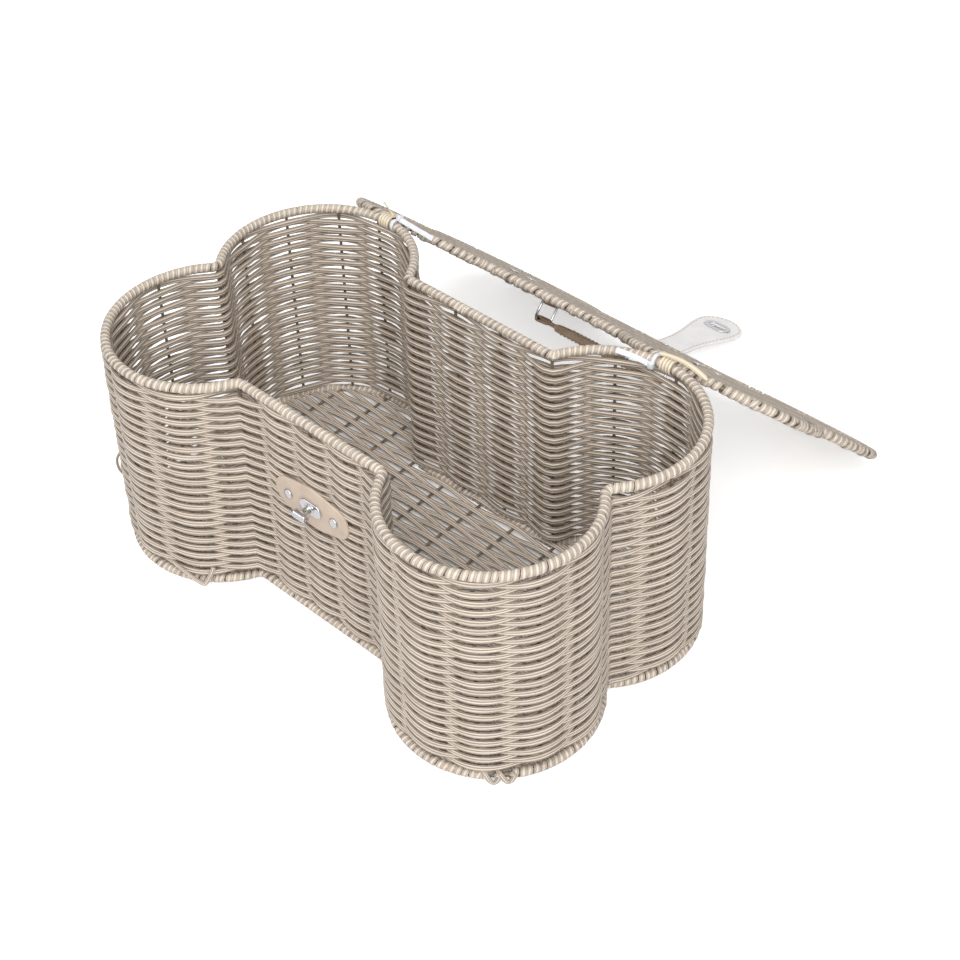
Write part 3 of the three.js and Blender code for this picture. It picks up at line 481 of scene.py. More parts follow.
class MeshMaker:
    """Collects strands, plates and turned forms into one mesh.

    Each point keeps "around", which is its direction round its strand and how far along it lies in
    millimetres, and "tone", the lightness of its strand. The strand finishes read both.
    """

    def __init__(self) -> None:
        self.points: list[np.ndarray] = []
        self.around: list[np.ndarray] = []
        self.tones: list[np.ndarray] = []
        self.faces: list[list[int]] = []
        self.count = 0

    def _take(self, points: np.ndarray, around: np.ndarray, tone) -> int:
        """Adds points and returns the number of the first."""
        start = self.count
        self.points.append(points)
        self.around.append(around)
        self.tones.append(np.broadcast_to(np.asarray(tone, float), len(points)))
        self.count += len(points)
        return start

    def _quads(self, start: int, rows: int, columns: int, closed: bool) -> None:
        """Joins a grid of points, whose columns go round, into quads."""
        row = np.arange(rows if closed else rows - 1)[:, None]
        column = np.arange(columns)[None, :]
        ahead, beside = (row + 1) % rows, (column + 1) % columns
        corners = (row * columns + column, ahead * columns + column, ahead * columns + beside, row * columns + beside)
        self.faces.extend((np.stack(corners, axis=-1).reshape(-1, 4) + start).tolist())

    def _caps(self, start: int, rows: int, columns: int) -> None:
        """Closes the first and the last row of a grid of points."""
        self.faces.append(list(range(start, start + columns)))
        last = start + (rows - 1) * columns
        self.faces.append(list(range(last + columns - 1, last - 1, -1)))

    def sweep(self, path: np.ndarray, side: np.ndarray, section: np.ndarray, tone=0.5, closed: bool = False) -> None:
        """Adds a section swept along a path.

        Args:
            path: Points of the path, in the part's frame.
            side: The section's first direction, for the whole path or each point.
            section: Offsets from oval(), for the whole path or each point.
            tone: Lightness of the strand, for the whole path or each point.
            closed: Whether the path ends where it starts.
        """
        around_path = np.roll(path, -1, 0) - np.roll(path, 1, 0)
        tangent = unit(around_path if closed else np.gradient(path, axis=0))
        side = np.broadcast_to(side, path.shape)
        side = unit(side - np.sum(side * tangent, axis=1, keepdims=True) * tangent)
        up = np.cross(side, tangent)
        section = np.broadcast_to(section, (len(path), *section.shape[-2:]))
        sides = section.shape[1]
        ring = path[:, None] + side[:, None] * section[:, :, 0:1] + up[:, None] * section[:, :, 1:2]
        along = distances(path)
        angle = 2 * np.pi * np.arange(sides) / sides
        shape = (len(path), sides)
        around = np.stack([np.broadcast_to(np.cos(angle), shape), np.broadcast_to(np.sin(angle), shape),
                           np.broadcast_to(along[:, None], shape)], axis=-1)
        tones = np.repeat(np.broadcast_to(np.asarray(tone, float), len(path)), sides)
        start = self._take(ring.reshape(-1, 3), around.reshape(-1, 3), tones)
        self._quads(start, len(path), sides, closed)
        if not closed:
            self._caps(start, len(path), sides)

    def rings(self, rows: np.ndarray) -> None:
        """Adds a closed form from rings of points, the first and last of which are capped.

        Args:
            rows: Rings with shape (rows, points, 3), anticlockwise seen from the last one's side.
        """
        count, columns = rows.shape[:2]
        points = rows[:, ::-1].reshape(-1, 3)
        start = self._take(points, np.zeros_like(points), 0.5)
        self._quads(start, count, columns, False)
        self._caps(start, count, columns)

    def plate(self, rim: np.ndarray, normals: np.ndarray, place: Place, low: float, high: float, edge: float) -> None:
        """Adds a flat piece with rounded edges.

        Args:
            rim: Its outline, anticlockwise, in the place's XY plane.
            normals: The outline's outward directions.
            place: Frame of the piece.
            low: Height of its back.
            high: Height of its face.
            edge: Radius of its edges.
        """
        turn = np.linspace(0, np.pi / 2, 4)
        inset = edge * (1 - np.sin(turn))
        rise = edge * (1 - np.cos(turn))
        insets = np.concatenate([inset, inset[::-1]])
        heights = np.concatenate([low + rise, high - rise[::-1]])
        flat = rim[None] - normals[None] * insets[:, None, None]
        rows = np.concatenate([flat, np.broadcast_to(heights[:, None, None], (*flat.shape[:2], 1))], axis=-1)
        self.rings(place.put(rows))

    def turned(self, profile: list[tuple[float, float]], place: Place, segments: int = 28) -> None:
        """Adds a form turned about the place's Z axis, from radii and heights that go up."""
        angle = 2 * np.pi * np.arange(segments) / segments
        radius, height = np.array(profile).T
        rows = np.stack([np.outer(radius, np.cos(angle)), np.outer(radius, np.sin(angle)),
                         np.repeat(height[:, None], segments, 1)], axis=-1)
        self.rings(place.put(rows))

    def stitches(self, path: np.ndarray, out: np.ndarray, length: float = 3.2, gap: float = 1.4,
                 radius: float = 0.38) -> None:
        """Adds a row of sewn stitches along a path.

        Args:
            path: Points of the seam on the leather's face.
            out: Direction out of that face.
            length: Length of one stitch.
            gap: Leather between two stitches.
            radius: Half of the thread.
        """
        along = distances(path)
        count = max(1, int(along[-1] / (length + gap)))
        share = np.linspace(0, 1, 6)
        for number in range(count):
            where = (number + 0.5) * along[-1] / count + (share - 0.5) * length
            points = np.stack([np.interp(where, along, path[:, k]) for k in range(3)], axis=1)
            # The ends dive into the leather, and the middle stands on it.
            lift = radius * (1.6 * np.sin(np.pi * share) - 0.8)
            self.sweep(points + lift[:, None] * out, np.asarray(out, float), oval(radius, radius * 1.25, 6))

    def mesh(self, name: str) -> bpy.types.Mesh:
        """Makes the mesh, in metres, with smooth faces and its two attributes."""
        mesh = bpy.data.meshes.new(name)
        mesh.from_pydata((np.concatenate(self.points) * MM).tolist(), [], self.faces)
        mesh.attributes.new("around", "FLOAT_VECTOR", "POINT").data.foreach_set(
            "vector", np.concatenate(self.around).astype(np.float32).ravel())
        mesh.attributes.new("tone", "FLOAT", "POINT").data.foreach_set(
            "value", np.concatenate(self.tones).astype(np.float32))
        mesh.polygons.foreach_set("use_smooth", np.ones(len(mesh.polygons), bool))
        mesh.set_sharp_from_angle(angle=math.radians(50))
        mesh.update()
        return mesh


class Dresser:
    """Turns meshes into pieces of the object: it links, finishes and logs each one."""

    def __init__(self, finishes: Finishes) -> None:
        self.finishes = finishes

    def piece(self, maker: MeshMaker, name: str, material: bpy.types.Material, nodes: tuple[str, ...],
              body: Body | None) -> bpy.types.Object:
        """Adds one piece.

        Args:
            maker: The piece's mesh.
            name: The piece's name.
            material: Its finish.
            nodes: The solids that it stands for.
            body: What it rides on, or None to leave it unattached.

        Returns:
            The object.
        """
        mesh = maker.mesh(name)
        mesh.materials.append(material)
        made = add_object(name, mesh)
        if body is not None:
            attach(made, body.value)
        if nodes:
            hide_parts(*nodes)
        LOG.info("%s: %d faces", name, len(mesh.polygons))
        return made


def hull_rim(circles: list[tuple[float, float, float]], arc_step: float = 8.0) -> tuple[np.ndarray, np.ndarray]:
    """Outline of the hull of circles given anticlockwise as x, y and radius.

    Args:
        circles: The circles.
        arc_step: Degrees between points on an arc.

    Returns:
        The points and their outward directions.
    """
    exits = []
    for (x, y, radius), (next_x, next_y, next_radius) in zip(circles, circles[1:] + circles[:1]):
        run = math.hypot(next_x - x, next_y - y)
        exits.append(math.atan2(next_y - y, next_x - x) - math.acos((radius - next_radius) / run))
    points, normals = [], []
    for number, (x, y, radius) in enumerate(circles):
        first = exits[number - 1]
        turn = (exits[number] - first) % (2 * math.pi)
        if turn > math.radians(359):
            turn = 0.0
        steps = max(1, math.ceil(math.degrees(turn) / arc_step))
        angle = first + turn * np.arange(steps + 1) / steps
        way = np.stack([np.cos(angle), np.sin(angle)], axis=1)
        points.append(np.array([x, y]) + radius * way)
        normals.append(way)
    return np.concatenate(points), np.concatenate(normals)


def stadium_rim(length: float, width: float) -> tuple[np.ndarray, np.ndarray]:
    """Outline of a round-ended bar along X."""
    reach, radius = (length - width) / 2, width / 2
    return hull_rim([(reach, 0.0, radius), (-reach, 0.0, radius)])


def block_rim(length: float, width: float, radius: float) -> tuple[np.ndarray, np.ndarray]:
    """Outline of a rectangle with rounded corners."""
    x, y = length / 2 - radius, width / 2 - radius
    return hull_rim([(x, -y, radius), (x, y, radius), (-x, y, radius), (-x, -y, radius)], 18.0)


@dataclass
class BoneOutline:
    """Middle line of a wrapped ring: four lobes that meet in fillets at both ends and at the waist.

    Attributes:
        overhang: How far outside the rim's line this one lies.
    """

    overhang: float = 0.0
    lobe_x: float = 161.0
    lobe_y: float = 62.0
    lobe_radius: float = 85.0
    waist: float = 95.5
    fillet: float = 8.0
    hinge_room: float = 9.95
    step: float = 0.5
    xy: np.ndarray = field(init=False)
    normal: np.ndarray = field(init=False)
    along: np.ndarray = field(init=False)

    def __post_init__(self) -> None:
        radius, waist = self.lobe_radius + self.overhang, self.waist + self.overhang
        reach = radius + self.fillet
        waist_y = waist + self.fillet
        waist_x = self.lobe_x - math.sqrt(reach**2 - (waist_y - self.lobe_y) ** 2)
        notch_x = self.lobe_x + math.sqrt(reach**2 - self.lobe_y**2)
        first = math.atan2(-self.lobe_y, notch_x - self.lobe_x)
        last = math.atan2(waist_y - self.lobe_y, waist_x - self.lobe_x)
        self.notch = np.array([notch_x - self.fillet, 0.0])
        self.corner_x = waist_x
        half = (last - math.pi - math.pi / 2) / 2
        self.corner = np.array([waist_x + self.fillet * math.cos(half), waist_y + self.fillet * math.sin(half)])
        self.lobe_span = (first, last)
        pieces = [self._arc(notch_x, 0.0, self.fillet, math.pi, math.pi + first, -1.0),
                  self._arc(self.lobe_x, self.lobe_y, radius, first, last, 1.0),
                  self._arc(waist_x, waist_y, self.fillet, last - math.pi, -math.pi / 2, -1.0),
                  self._line(waist_x, waist)]
        quarter = np.concatenate(pieces)
        left = quarter[::-1] * [-1, 1, -1, 1]
        upper = np.concatenate([quarter, left])
        lower = upper[::-1] * [1, -1, 1, -1]
        full = np.concatenate([upper, lower])
        keep = np.linalg.norm(np.diff(full[:, :2], axis=0, append=full[:1, :2]), axis=1) > 1e-6
        full = full[keep]
        self.xy, self.normal = full[:, :2], full[:, 2:]
        steps = np.linalg.norm(np.diff(self.xy, axis=0, append=self.xy[:1]), axis=1)
        self.along = np.concatenate([[0.0], np.cumsum(steps)])

    @property
    def length(self) -> float:
        """Length all the way round."""
        return float(self.along[-1])

    def _arc(self, x: float, y: float, radius: float, first: float, last: float, side: float) -> np.ndarray:
        """Points and outward directions of an arc."""
        count = max(3, int(abs(last - first) * radius / self.step))
        angle = np.linspace(first, last, count)
        way = np.stack([np.cos(angle), np.sin(angle)], axis=1)
        return np.concatenate([np.array([x, y]) + radius * way, side * way], axis=1)

    def _line(self, x: float, y: float) -> np.ndarray:
        """Points and outward directions of a straight half of the waist."""
        run = np.linspace(x, 0.0, int(x / self.step))
        still = np.ones_like(run)
        return np.stack([run, y * still, 0 * still, still], axis=1)

    def at(self, where: np.ndarray) -> tuple[np.ndarray, np.ndarray]:
        """Points and outward directions at distances along the outline."""
        where = np.mod(where, self.length)
        xy = np.concatenate([self.xy, self.xy[:1]])
        normal = np.concatenate([self.normal, self.normal[:1]])
        points = np.stack([np.interp(where, self.along, xy[:, k]) for k in (0, 1)], axis=-1)
        ways = np.stack([np.interp(where, self.along, normal[:, k]) for k in (0, 1)], axis=-1)
        return points, unit(ways)

    def nearest(self, point: np.ndarray) -> float:
        """Distance along the outline of its point nearest to a given one."""
        return float(self.along[np.argmin(np.linalg.norm(self.xy - point, axis=1))])

    def stakes(self, on_lobe: int = 5, on_front: int = 3, on_back: int = 2) -> np.ndarray:
        """Distances along the outline of the upright stakes.

        Args:
            on_lobe: Stakes on each lobe, between its two fillets.
            on_front: Stakes along the front of the waist.
            on_back: Stakes along the back of the waist.

        Returns:
            The distances in order.
        """
        centre = np.array([self.lobe_x, self.lobe_y])
        first, last = self.lobe_span
        angle = first + (last - first) * np.arange(1, on_lobe + 1) / (on_lobe + 1)
        # The rearmost stake stands just outside the hinge's turns.
        beside = math.asin(self.hinge_room / self.lobe_radius)
        angle = np.where(np.abs(angle - math.pi / 2) < beside, math.pi / 2 - beside, angle)
        quarter = [self.corner, *(centre + self.lobe_radius * np.stack([np.cos(angle), np.sin(angle)], axis=1))]
        points = [self.notch * side for side in (1, -1)]
        points += [corner * [x, y] for corner in quarter for x in (1, -1) for y in (1, -1)]
        for count, y in ((on_front, -self.waist), (on_back, self.waist)):
            share = 2 * np.arange(1, count + 1) / (count + 1) - 1
            points += [np.array([self.corner_x * part, y]) for part in share]
        return np.sort([self.nearest(point) for point in points])

    def spans(self, y: float) -> list[tuple[float, float]]:
        """Stretches of X that lie inside the outline at one Y."""
        low, high = self.xy, np.roll(self.xy, -1, 0)
        crossing = (low[:, 1] > y) != (high[:, 1] > y)
        low, high = low[crossing], high[crossing]
        x = np.sort(low[:, 0] + (y - low[:, 1]) / (high[:, 1] - low[:, 1]) * (high[:, 0] - low[:, 0]))
        return list(zip(x[0::2], x[1::2]))


@dataclass
class WovenWall:
    """The basket's side: two lengths of strand, wound up in one spiral, in front of one stake and behind the next."""

    outline: BoneOutline
    low: float = 10.6
    high: float = 206.4
    rows: int = 43
    swing: float = 3.4
    half_thickness: float = 1.65
    high_at_stake: float = 3.25
    high_between: float = 2.6
    step: float = 4.6
    wander: float = 0.65
    bridge: float = 3.2
    inward: float = 0.45
    pull: tuple[float, float] = (0.82, 1.15)

    def build(self, dresser: Dresser, rng: np.random.Generator) -> None:
        """Adds the wall."""
        length = self.outline.length
        stakes = self.outline.stakes()
        count = len(stakes)
        where = np.arange(0, self.rows * length, self.step)
        marks = np.concatenate([stakes + turn * length for turn in range(-1, self.rows + 1)])
        passed = np.searchsorted(marks, where, side="right") - 1
        share = (where - marks[passed]) / (marks[passed + 1] - marks[passed])
        sign = np.where((passed - count) % 2 == 0, 1.0, -1.0)
        # Each crossing is pulled a little tighter or looser than the next.
        pull = rng.uniform(*self.pull, len(marks))
        ease = share * share * (3 - 2 * share)

        def between(values: np.ndarray, part: np.ndarray) -> np.ndarray:
            """Blends a value of each stake into the next one's."""
            return values[passed] * (1 - part) + values[passed + 1] * part

        offset = sign * self.swing * between(pull, share) * np.cos(np.pi * share)
        # Outside a corner of the waist, the strand is drawn straight across it.
        corners = [self.outline.nearest(self.outline.corner * [x, y]) for x in (1, -1) for y in (1, -1)]
        bent = np.tile(np.isin(stakes, corners), self.rows + 2)
        drawn = bent * np.where((np.arange(len(marks)) - count) % 2 == 0, self.bridge, -self.inward * self.bridge)
        offset = offset + between(drawn, ease)
        xy, normal = self.outline.at(where)
        drift = rng.uniform(-1, 1, len(marks)) * self.wander
        height = self.low + (self.high - self.low) * where / where[-1] + between(drift, ease)
        path = np.column_stack([xy + normal * offset[:, None], height])
        side = np.column_stack([normal, np.zeros(len(where))])
        half_up = self.high_at_stake + (self.high_between - self.high_at_stake) * np.sin(np.pi * share) ** 2
        shade = rng.uniform(0.1, 0.9, self.rows * 2 + 2)
        tone = np.interp(where / length * 2, np.arange(len(shade)), shade)
        half = len(where) // 2
        for name, part in (("wall_weave_low", slice(0, half + 1)), ("wall_weave_high", slice(half, None))):
            maker = MeshMaker()
            section = oval(np.full(len(where[part]), self.half_thickness), half_up[part], 10, 0.9)
            maker.sweep(path[part], side[part], section, tone[part])
            dresser.piece(maker, name, dresser.finishes.rattan, ("woven_wall",), Body.BASKET)


@dataclass
class FlatWeave:
    """A woven panel inside a ring: strands along X, over one cross wire and under the next."""

    outline: BoneOutline
    place: Place
    strand_pitch: float = 6.5
    swing: float = 2.6
    half_thickness: float = 1.35
    half_width: float = 2.95
    ring_inset: float = 3.0
    settle: float = 14.0
    shortest: float = 24.0
    step: float = 5.0
    wander: float = 0.35
    waves: tuple[float, float] = (31.0, 53.0)
    pinch: float = 0.35

    def build(self, dresser: Dresser, rng: np.random.Generator, name: str, node: str, body: Body) -> None:
        """Adds the panel.

        Args:
            dresser: Where pieces are made.
            rng: Source of the small unevenness.
            name: Name of the piece.
            node: The solid that it stands for.
            body: What it rides on.
        """
        maker = MeshMaker()
        reach = float(np.abs(self.outline.xy[:, 1]).max())
        rows = int(reach / self.strand_pitch)
        for row in range(-rows, rows):
            y = (row + 0.5) * self.strand_pitch
            for low, high in self.outline.spans(y):
                if high - low > self.shortest:
                    self._strand(maker, rng, row, y, low + self.ring_inset, high - self.ring_inset)
        dresser.piece(maker, name, dresser.finishes.rattan, (node,), body)

    def _strand(self, maker: MeshMaker, rng: np.random.Generator, row: int, y: float, low: float, high: float) -> None:
        """Adds one strand between two points of the ring."""
        x = np.linspace(low, high, max(6, int((high - low) / self.step)))
        side = 1.0 if row % 2 == 0 else -1.0
        near = np.clip(np.minimum(x - low, high - x) / self.settle, 0, 1)
        weave = np.cos(np.pi * x / WIRE_PITCH)
        phase = rng.uniform(0, 2 * np.pi, 2)
        drift = sum(self.wander * np.sin(x / wave + start) for wave, start in zip(self.waves, phase))
        z = side * self.swing * weave * near
        width = self.half_width - self.pinch * (1 - weave**2)
        path = self.place.put(np.column_stack([x, y + drift, z]))
        section = oval(np.full(len(x), self.half_thickness), width, 8, 0.85)
        maker.sweep(path, self.place.z, section, rng.uniform(0.1, 0.9))


@dataclass
class RingWrap:
    """Strand wound close round a ring's rod, with a small break at each thing that joins the ring.

    Attributes:
        breaks: Distances along the ring of those breaks.
        gaps: Half of the bare rod at each break, or one number for all.
        uneven: How far a turn slides along the ring, as a share of the pitch.
        slack: How far a loose turn stands off the rod.
        knots: Places along the ring with a few more turns on top, each with its count of turns and their pitch.
        facing: Side that meets another ring when the lid is shut, as a sign of Z; turns lie flat there.
    """

    outline: BoneOutline
    place: Place
    breaks: np.ndarray
    gaps: np.ndarray | float = 1.1
    rod: float = 2.5
    uneven: float = 0.07
    slack: float = 0.12
    knots: list[tuple[float, float, float]] = field(default_factory=list)
    facing: float = 1.0
    half_thickness: float = 0.82
    half_width: float = 2.62
    pitch: float = 5.3
    crossing: float = 0.4
    flatten: float = 2.2
    knot_rise: float = 1.5
    steps: int = 12

    def build(self, dresser: Dresser, rng: np.random.Generator, name: str, node: str, body: Body) -> None:
        """Adds the winding, in the same way as FlatWeave.build."""
        gaps = np.broadcast_to(self.gaps, len(self.breaks))
        turns, marks = [0.0], [self.breaks[0] + gaps[0]]
        ends = np.append(self.breaks[1:], self.breaks[0] + self.outline.length)
        for start, end, gap, next_gap in zip(self.breaks, ends, gaps, np.roll(gaps, -1)):
            count = max(1, round((end - start - gap - next_gap) / self.pitch))
            turns += [turns[-1] + count, turns[-1] + count + self.crossing]
            marks += [end - next_gap, end + next_gap]
        turn = np.arange(0, turns[-1], 1 / self.steps)
        numbers = np.arange(int(turns[-1]) + 2)
        slide = np.interp(turn, numbers, rng.normal(0, self.uneven, len(numbers)))
        lift = np.interp(turn, numbers, np.abs(rng.normal(0, self.slack, len(numbers))))
        shade = rng.uniform(0.2, 0.9, int(turns[-1] / 3) + 2)
        tone = np.interp(turn / 3, np.arange(len(shade)), shade)
        maker = MeshMaker()
        self._wind(maker, turn, np.interp(turn, turns, marks) + slide * self.pitch, lift, tone)
        for where, count, pitch in self.knots:
            turn = np.arange(0, count, 1 / self.steps)
            # The turns rise out of the winding at both ends.
            rise = self.knot_rise * self.half_thickness * np.sin(np.pi * np.clip(turn / count, 0.06, 0.94)) ** 0.4
            self._wind(maker, turn, where + (turn - count / 2) * pitch, rise, rng.uniform(0.3, 0.9))
        dresser.piece(maker, name, dresser.finishes.wrap, (node,), body)

    def _wind(self, maker: MeshMaker, turn: np.ndarray, where: np.ndarray, lift: np.ndarray, tone) -> None:
        """Adds turns of strand at distances along the ring, lifted off the rod."""
        xy, normal = self.outline.at(where)
        angle = 2 * np.pi * turn
        way = np.column_stack([normal * np.cos(angle)[:, None], np.sin(angle)])
        radius = self.rod + self.half_thickness + lift * np.clip(1 - self.flatten * self.facing * np.sin(angle), 0, 1)
        path = np.column_stack([xy, np.zeros(len(turn))]) + way * radius[:, None]
        section = oval(self.half_thickness, self.half_width, 10, 0.55)
        maker.sweep(self.place.put(path), self.place.turn(way), section, tone)


@dataclass
class StrayEnds:
    """Ends of strand that were left standing out of the weave.

    Each shape is a row of points, given along the wall, out of it and up.

    Attributes:
        bare: Point in plan where the foot ring is bare.
        loop_near: Point in plan next to the slack loop.
        bent_near: Point in plan next to the bent end.
    """

    outline: BoneOutline
    bare: tuple[float, float]
    half_thickness: float = 1.2
    half_width: float = 2.1
    loop_near: tuple[float, float] = (-221.0, -129.0)
    loop_z: float = 72.0
    bent_near: tuple[float, float] = (-113.0, -133.0)
    bent_z: float = 9.0
    curl_z: float = 7.0
    curl_shifts: tuple[float, float] = (-6.0, 5.0)
    tone: float = 0.7

    def build(self, dresser: Dresser) -> None:
        """Adds a slack loop and a bent end on the left front lobe, and two curls where the foot ring is bare."""
        maker = MeshMaker()
        loop = [[-5, 2, 8], [-3, 6.5, 7], [0, 9.5, 2], [2, 8.5, -6], [5, 4.5, -11], [9, 1, -12]]
        self._strand(maker, self.loop_near, self.loop_z, loop)
        bent = [[-28, 4, 9], [-16, 6, 4], [-4, 7.5, -4], [0, 7.8, -5.5], [2, 7, -3], [6, 5, 5], [8, 3.5, 11]]
        self._strand(maker, self.bent_near, self.bent_z, bent)
        curl = [[-6, 2, 4], [-3, 5.5, 3], [0, 7, -2.5], [3, 5.5, -6.5], [6, 4.5, -3], [6.5, 5, 1.5], [4, 6, 4]]
        for shift in self.curl_shifts:
            self._strand(maker, self.bare, self.curl_z, [[x + shift, out, up] for x, out, up in curl])
        dresser.piece(maker, "stray_ends", dresser.finishes.rattan, (), Body.BASKET)

    def _strand(self, maker: MeshMaker, near: tuple[float, float], z: float, knots: list[list[float]]) -> None:
        """Adds a strand through points given along the wall, out of it and up from a height.

        Args:
            maker: The mesh that takes it.
            near: A point in plan, whose nearest place on the outline the strand starts from.
            z: Height that the points are measured from.
            knots: The points.
        """
        share = np.linspace(0, len(knots) - 1, 8 * len(knots))
        smooth = np.stack([np.interp(share, np.arange(len(knots)), column) for column in zip(*knots)], axis=1)
        for _ in range(3):
            smooth[2:-2] = (smooth[:-4] + smooth[1:-3] + smooth[2:-2] + smooth[3:-1] + smooth[4:]) / 5
        xy, normal = self.outline.at(self.outline.nearest(np.array(near)) + smooth[:, 0])
        path = np.column_stack([xy + normal * smooth[:, 1:2], z + smooth[:, 2]])
        side = np.column_stack([normal, np.zeros(len(path))])
        maker.sweep(path, side, oval(self.half_thickness, self.half_width, 10, 0.9), self.tone)


@dataclass
class WireFrames:
    """The round steel wire inside the weave: ring rods, stakes and the cross wires of both panels."""

    rim: BoneOutline
    lid: BoneOutline
    rod: float = 2.3
    base_rod: float = 2.0
    wire: float = 1.35
    wires_each_side: int = 5

    def build(self, dresser: Dresser, lid_middle: Place) -> None:
        """Adds both frames."""
        basket = MeshMaker()
        self._ring(basket, self.rim, Place.world(z=RIM_Z), self.rod)
        self._ring(basket, self.rim, Place.world(z=BASE_Z), self.base_rod)
        xy, _ = self.rim.at(self.rim.stakes())
        for x, y in xy:
            self._bar(basket, np.array([[x, y, BASE_Z], [x, y, RIM_Z]]), self.wire)
        self._cross_wires(basket, self.rim, Place.world(z=BASE_Z))
        wire = dresser.finishes.wire
        dresser.piece(basket, "basket_wires", wire, ("basket_wire_frame",), Body.BASKET)
        lid = MeshMaker()
        self._ring(lid, self.lid, lid_middle, self.rod)
        self._cross_wires(lid, self.lid, lid_middle)
        dresser.piece(lid, "lid_wires", wire, ("lid_wire_frame",), Body.LID)

    def _ring(self, maker: MeshMaker, outline: BoneOutline, place: Place, radius: float) -> None:
        """Adds a ring's rod."""
        where = np.linspace(0, outline.length, 480, endpoint=False)
        xy, normal = outline.at(where)
        still = np.zeros((len(where), 1))
        path = place.put(np.concatenate([xy, still], axis=1))
        side = place.turn(np.concatenate([normal, still], axis=1))
        maker.sweep(path, side, oval(radius, radius, 8), closed=True)

    def _bar(self, maker: MeshMaker, ends: np.ndarray, radius: float) -> None:
        """Adds a straight wire."""
        side = unit(np.cross(ends[1] - ends[0], [0.3, 0.5, 0.7]))
        maker.sweep(ends, side, oval(radius, radius, 10))

    def _cross_wires(self, maker: MeshMaker, outline: BoneOutline, place: Place) -> None:
        """Adds the wires across a panel."""
        for number in range(-self.wires_each_side, self.wires_each_side + 1):
            x = number * WIRE_PITCH
            close = np.abs(outline.xy[:, 0] - x) < 1.0
            reach = np.abs(outline.xy[close][:, 1]).max()
            self._bar(maker, place.put(np.array([[x, -reach, 0.0], [x, reach, 0.0]])), self.wire)


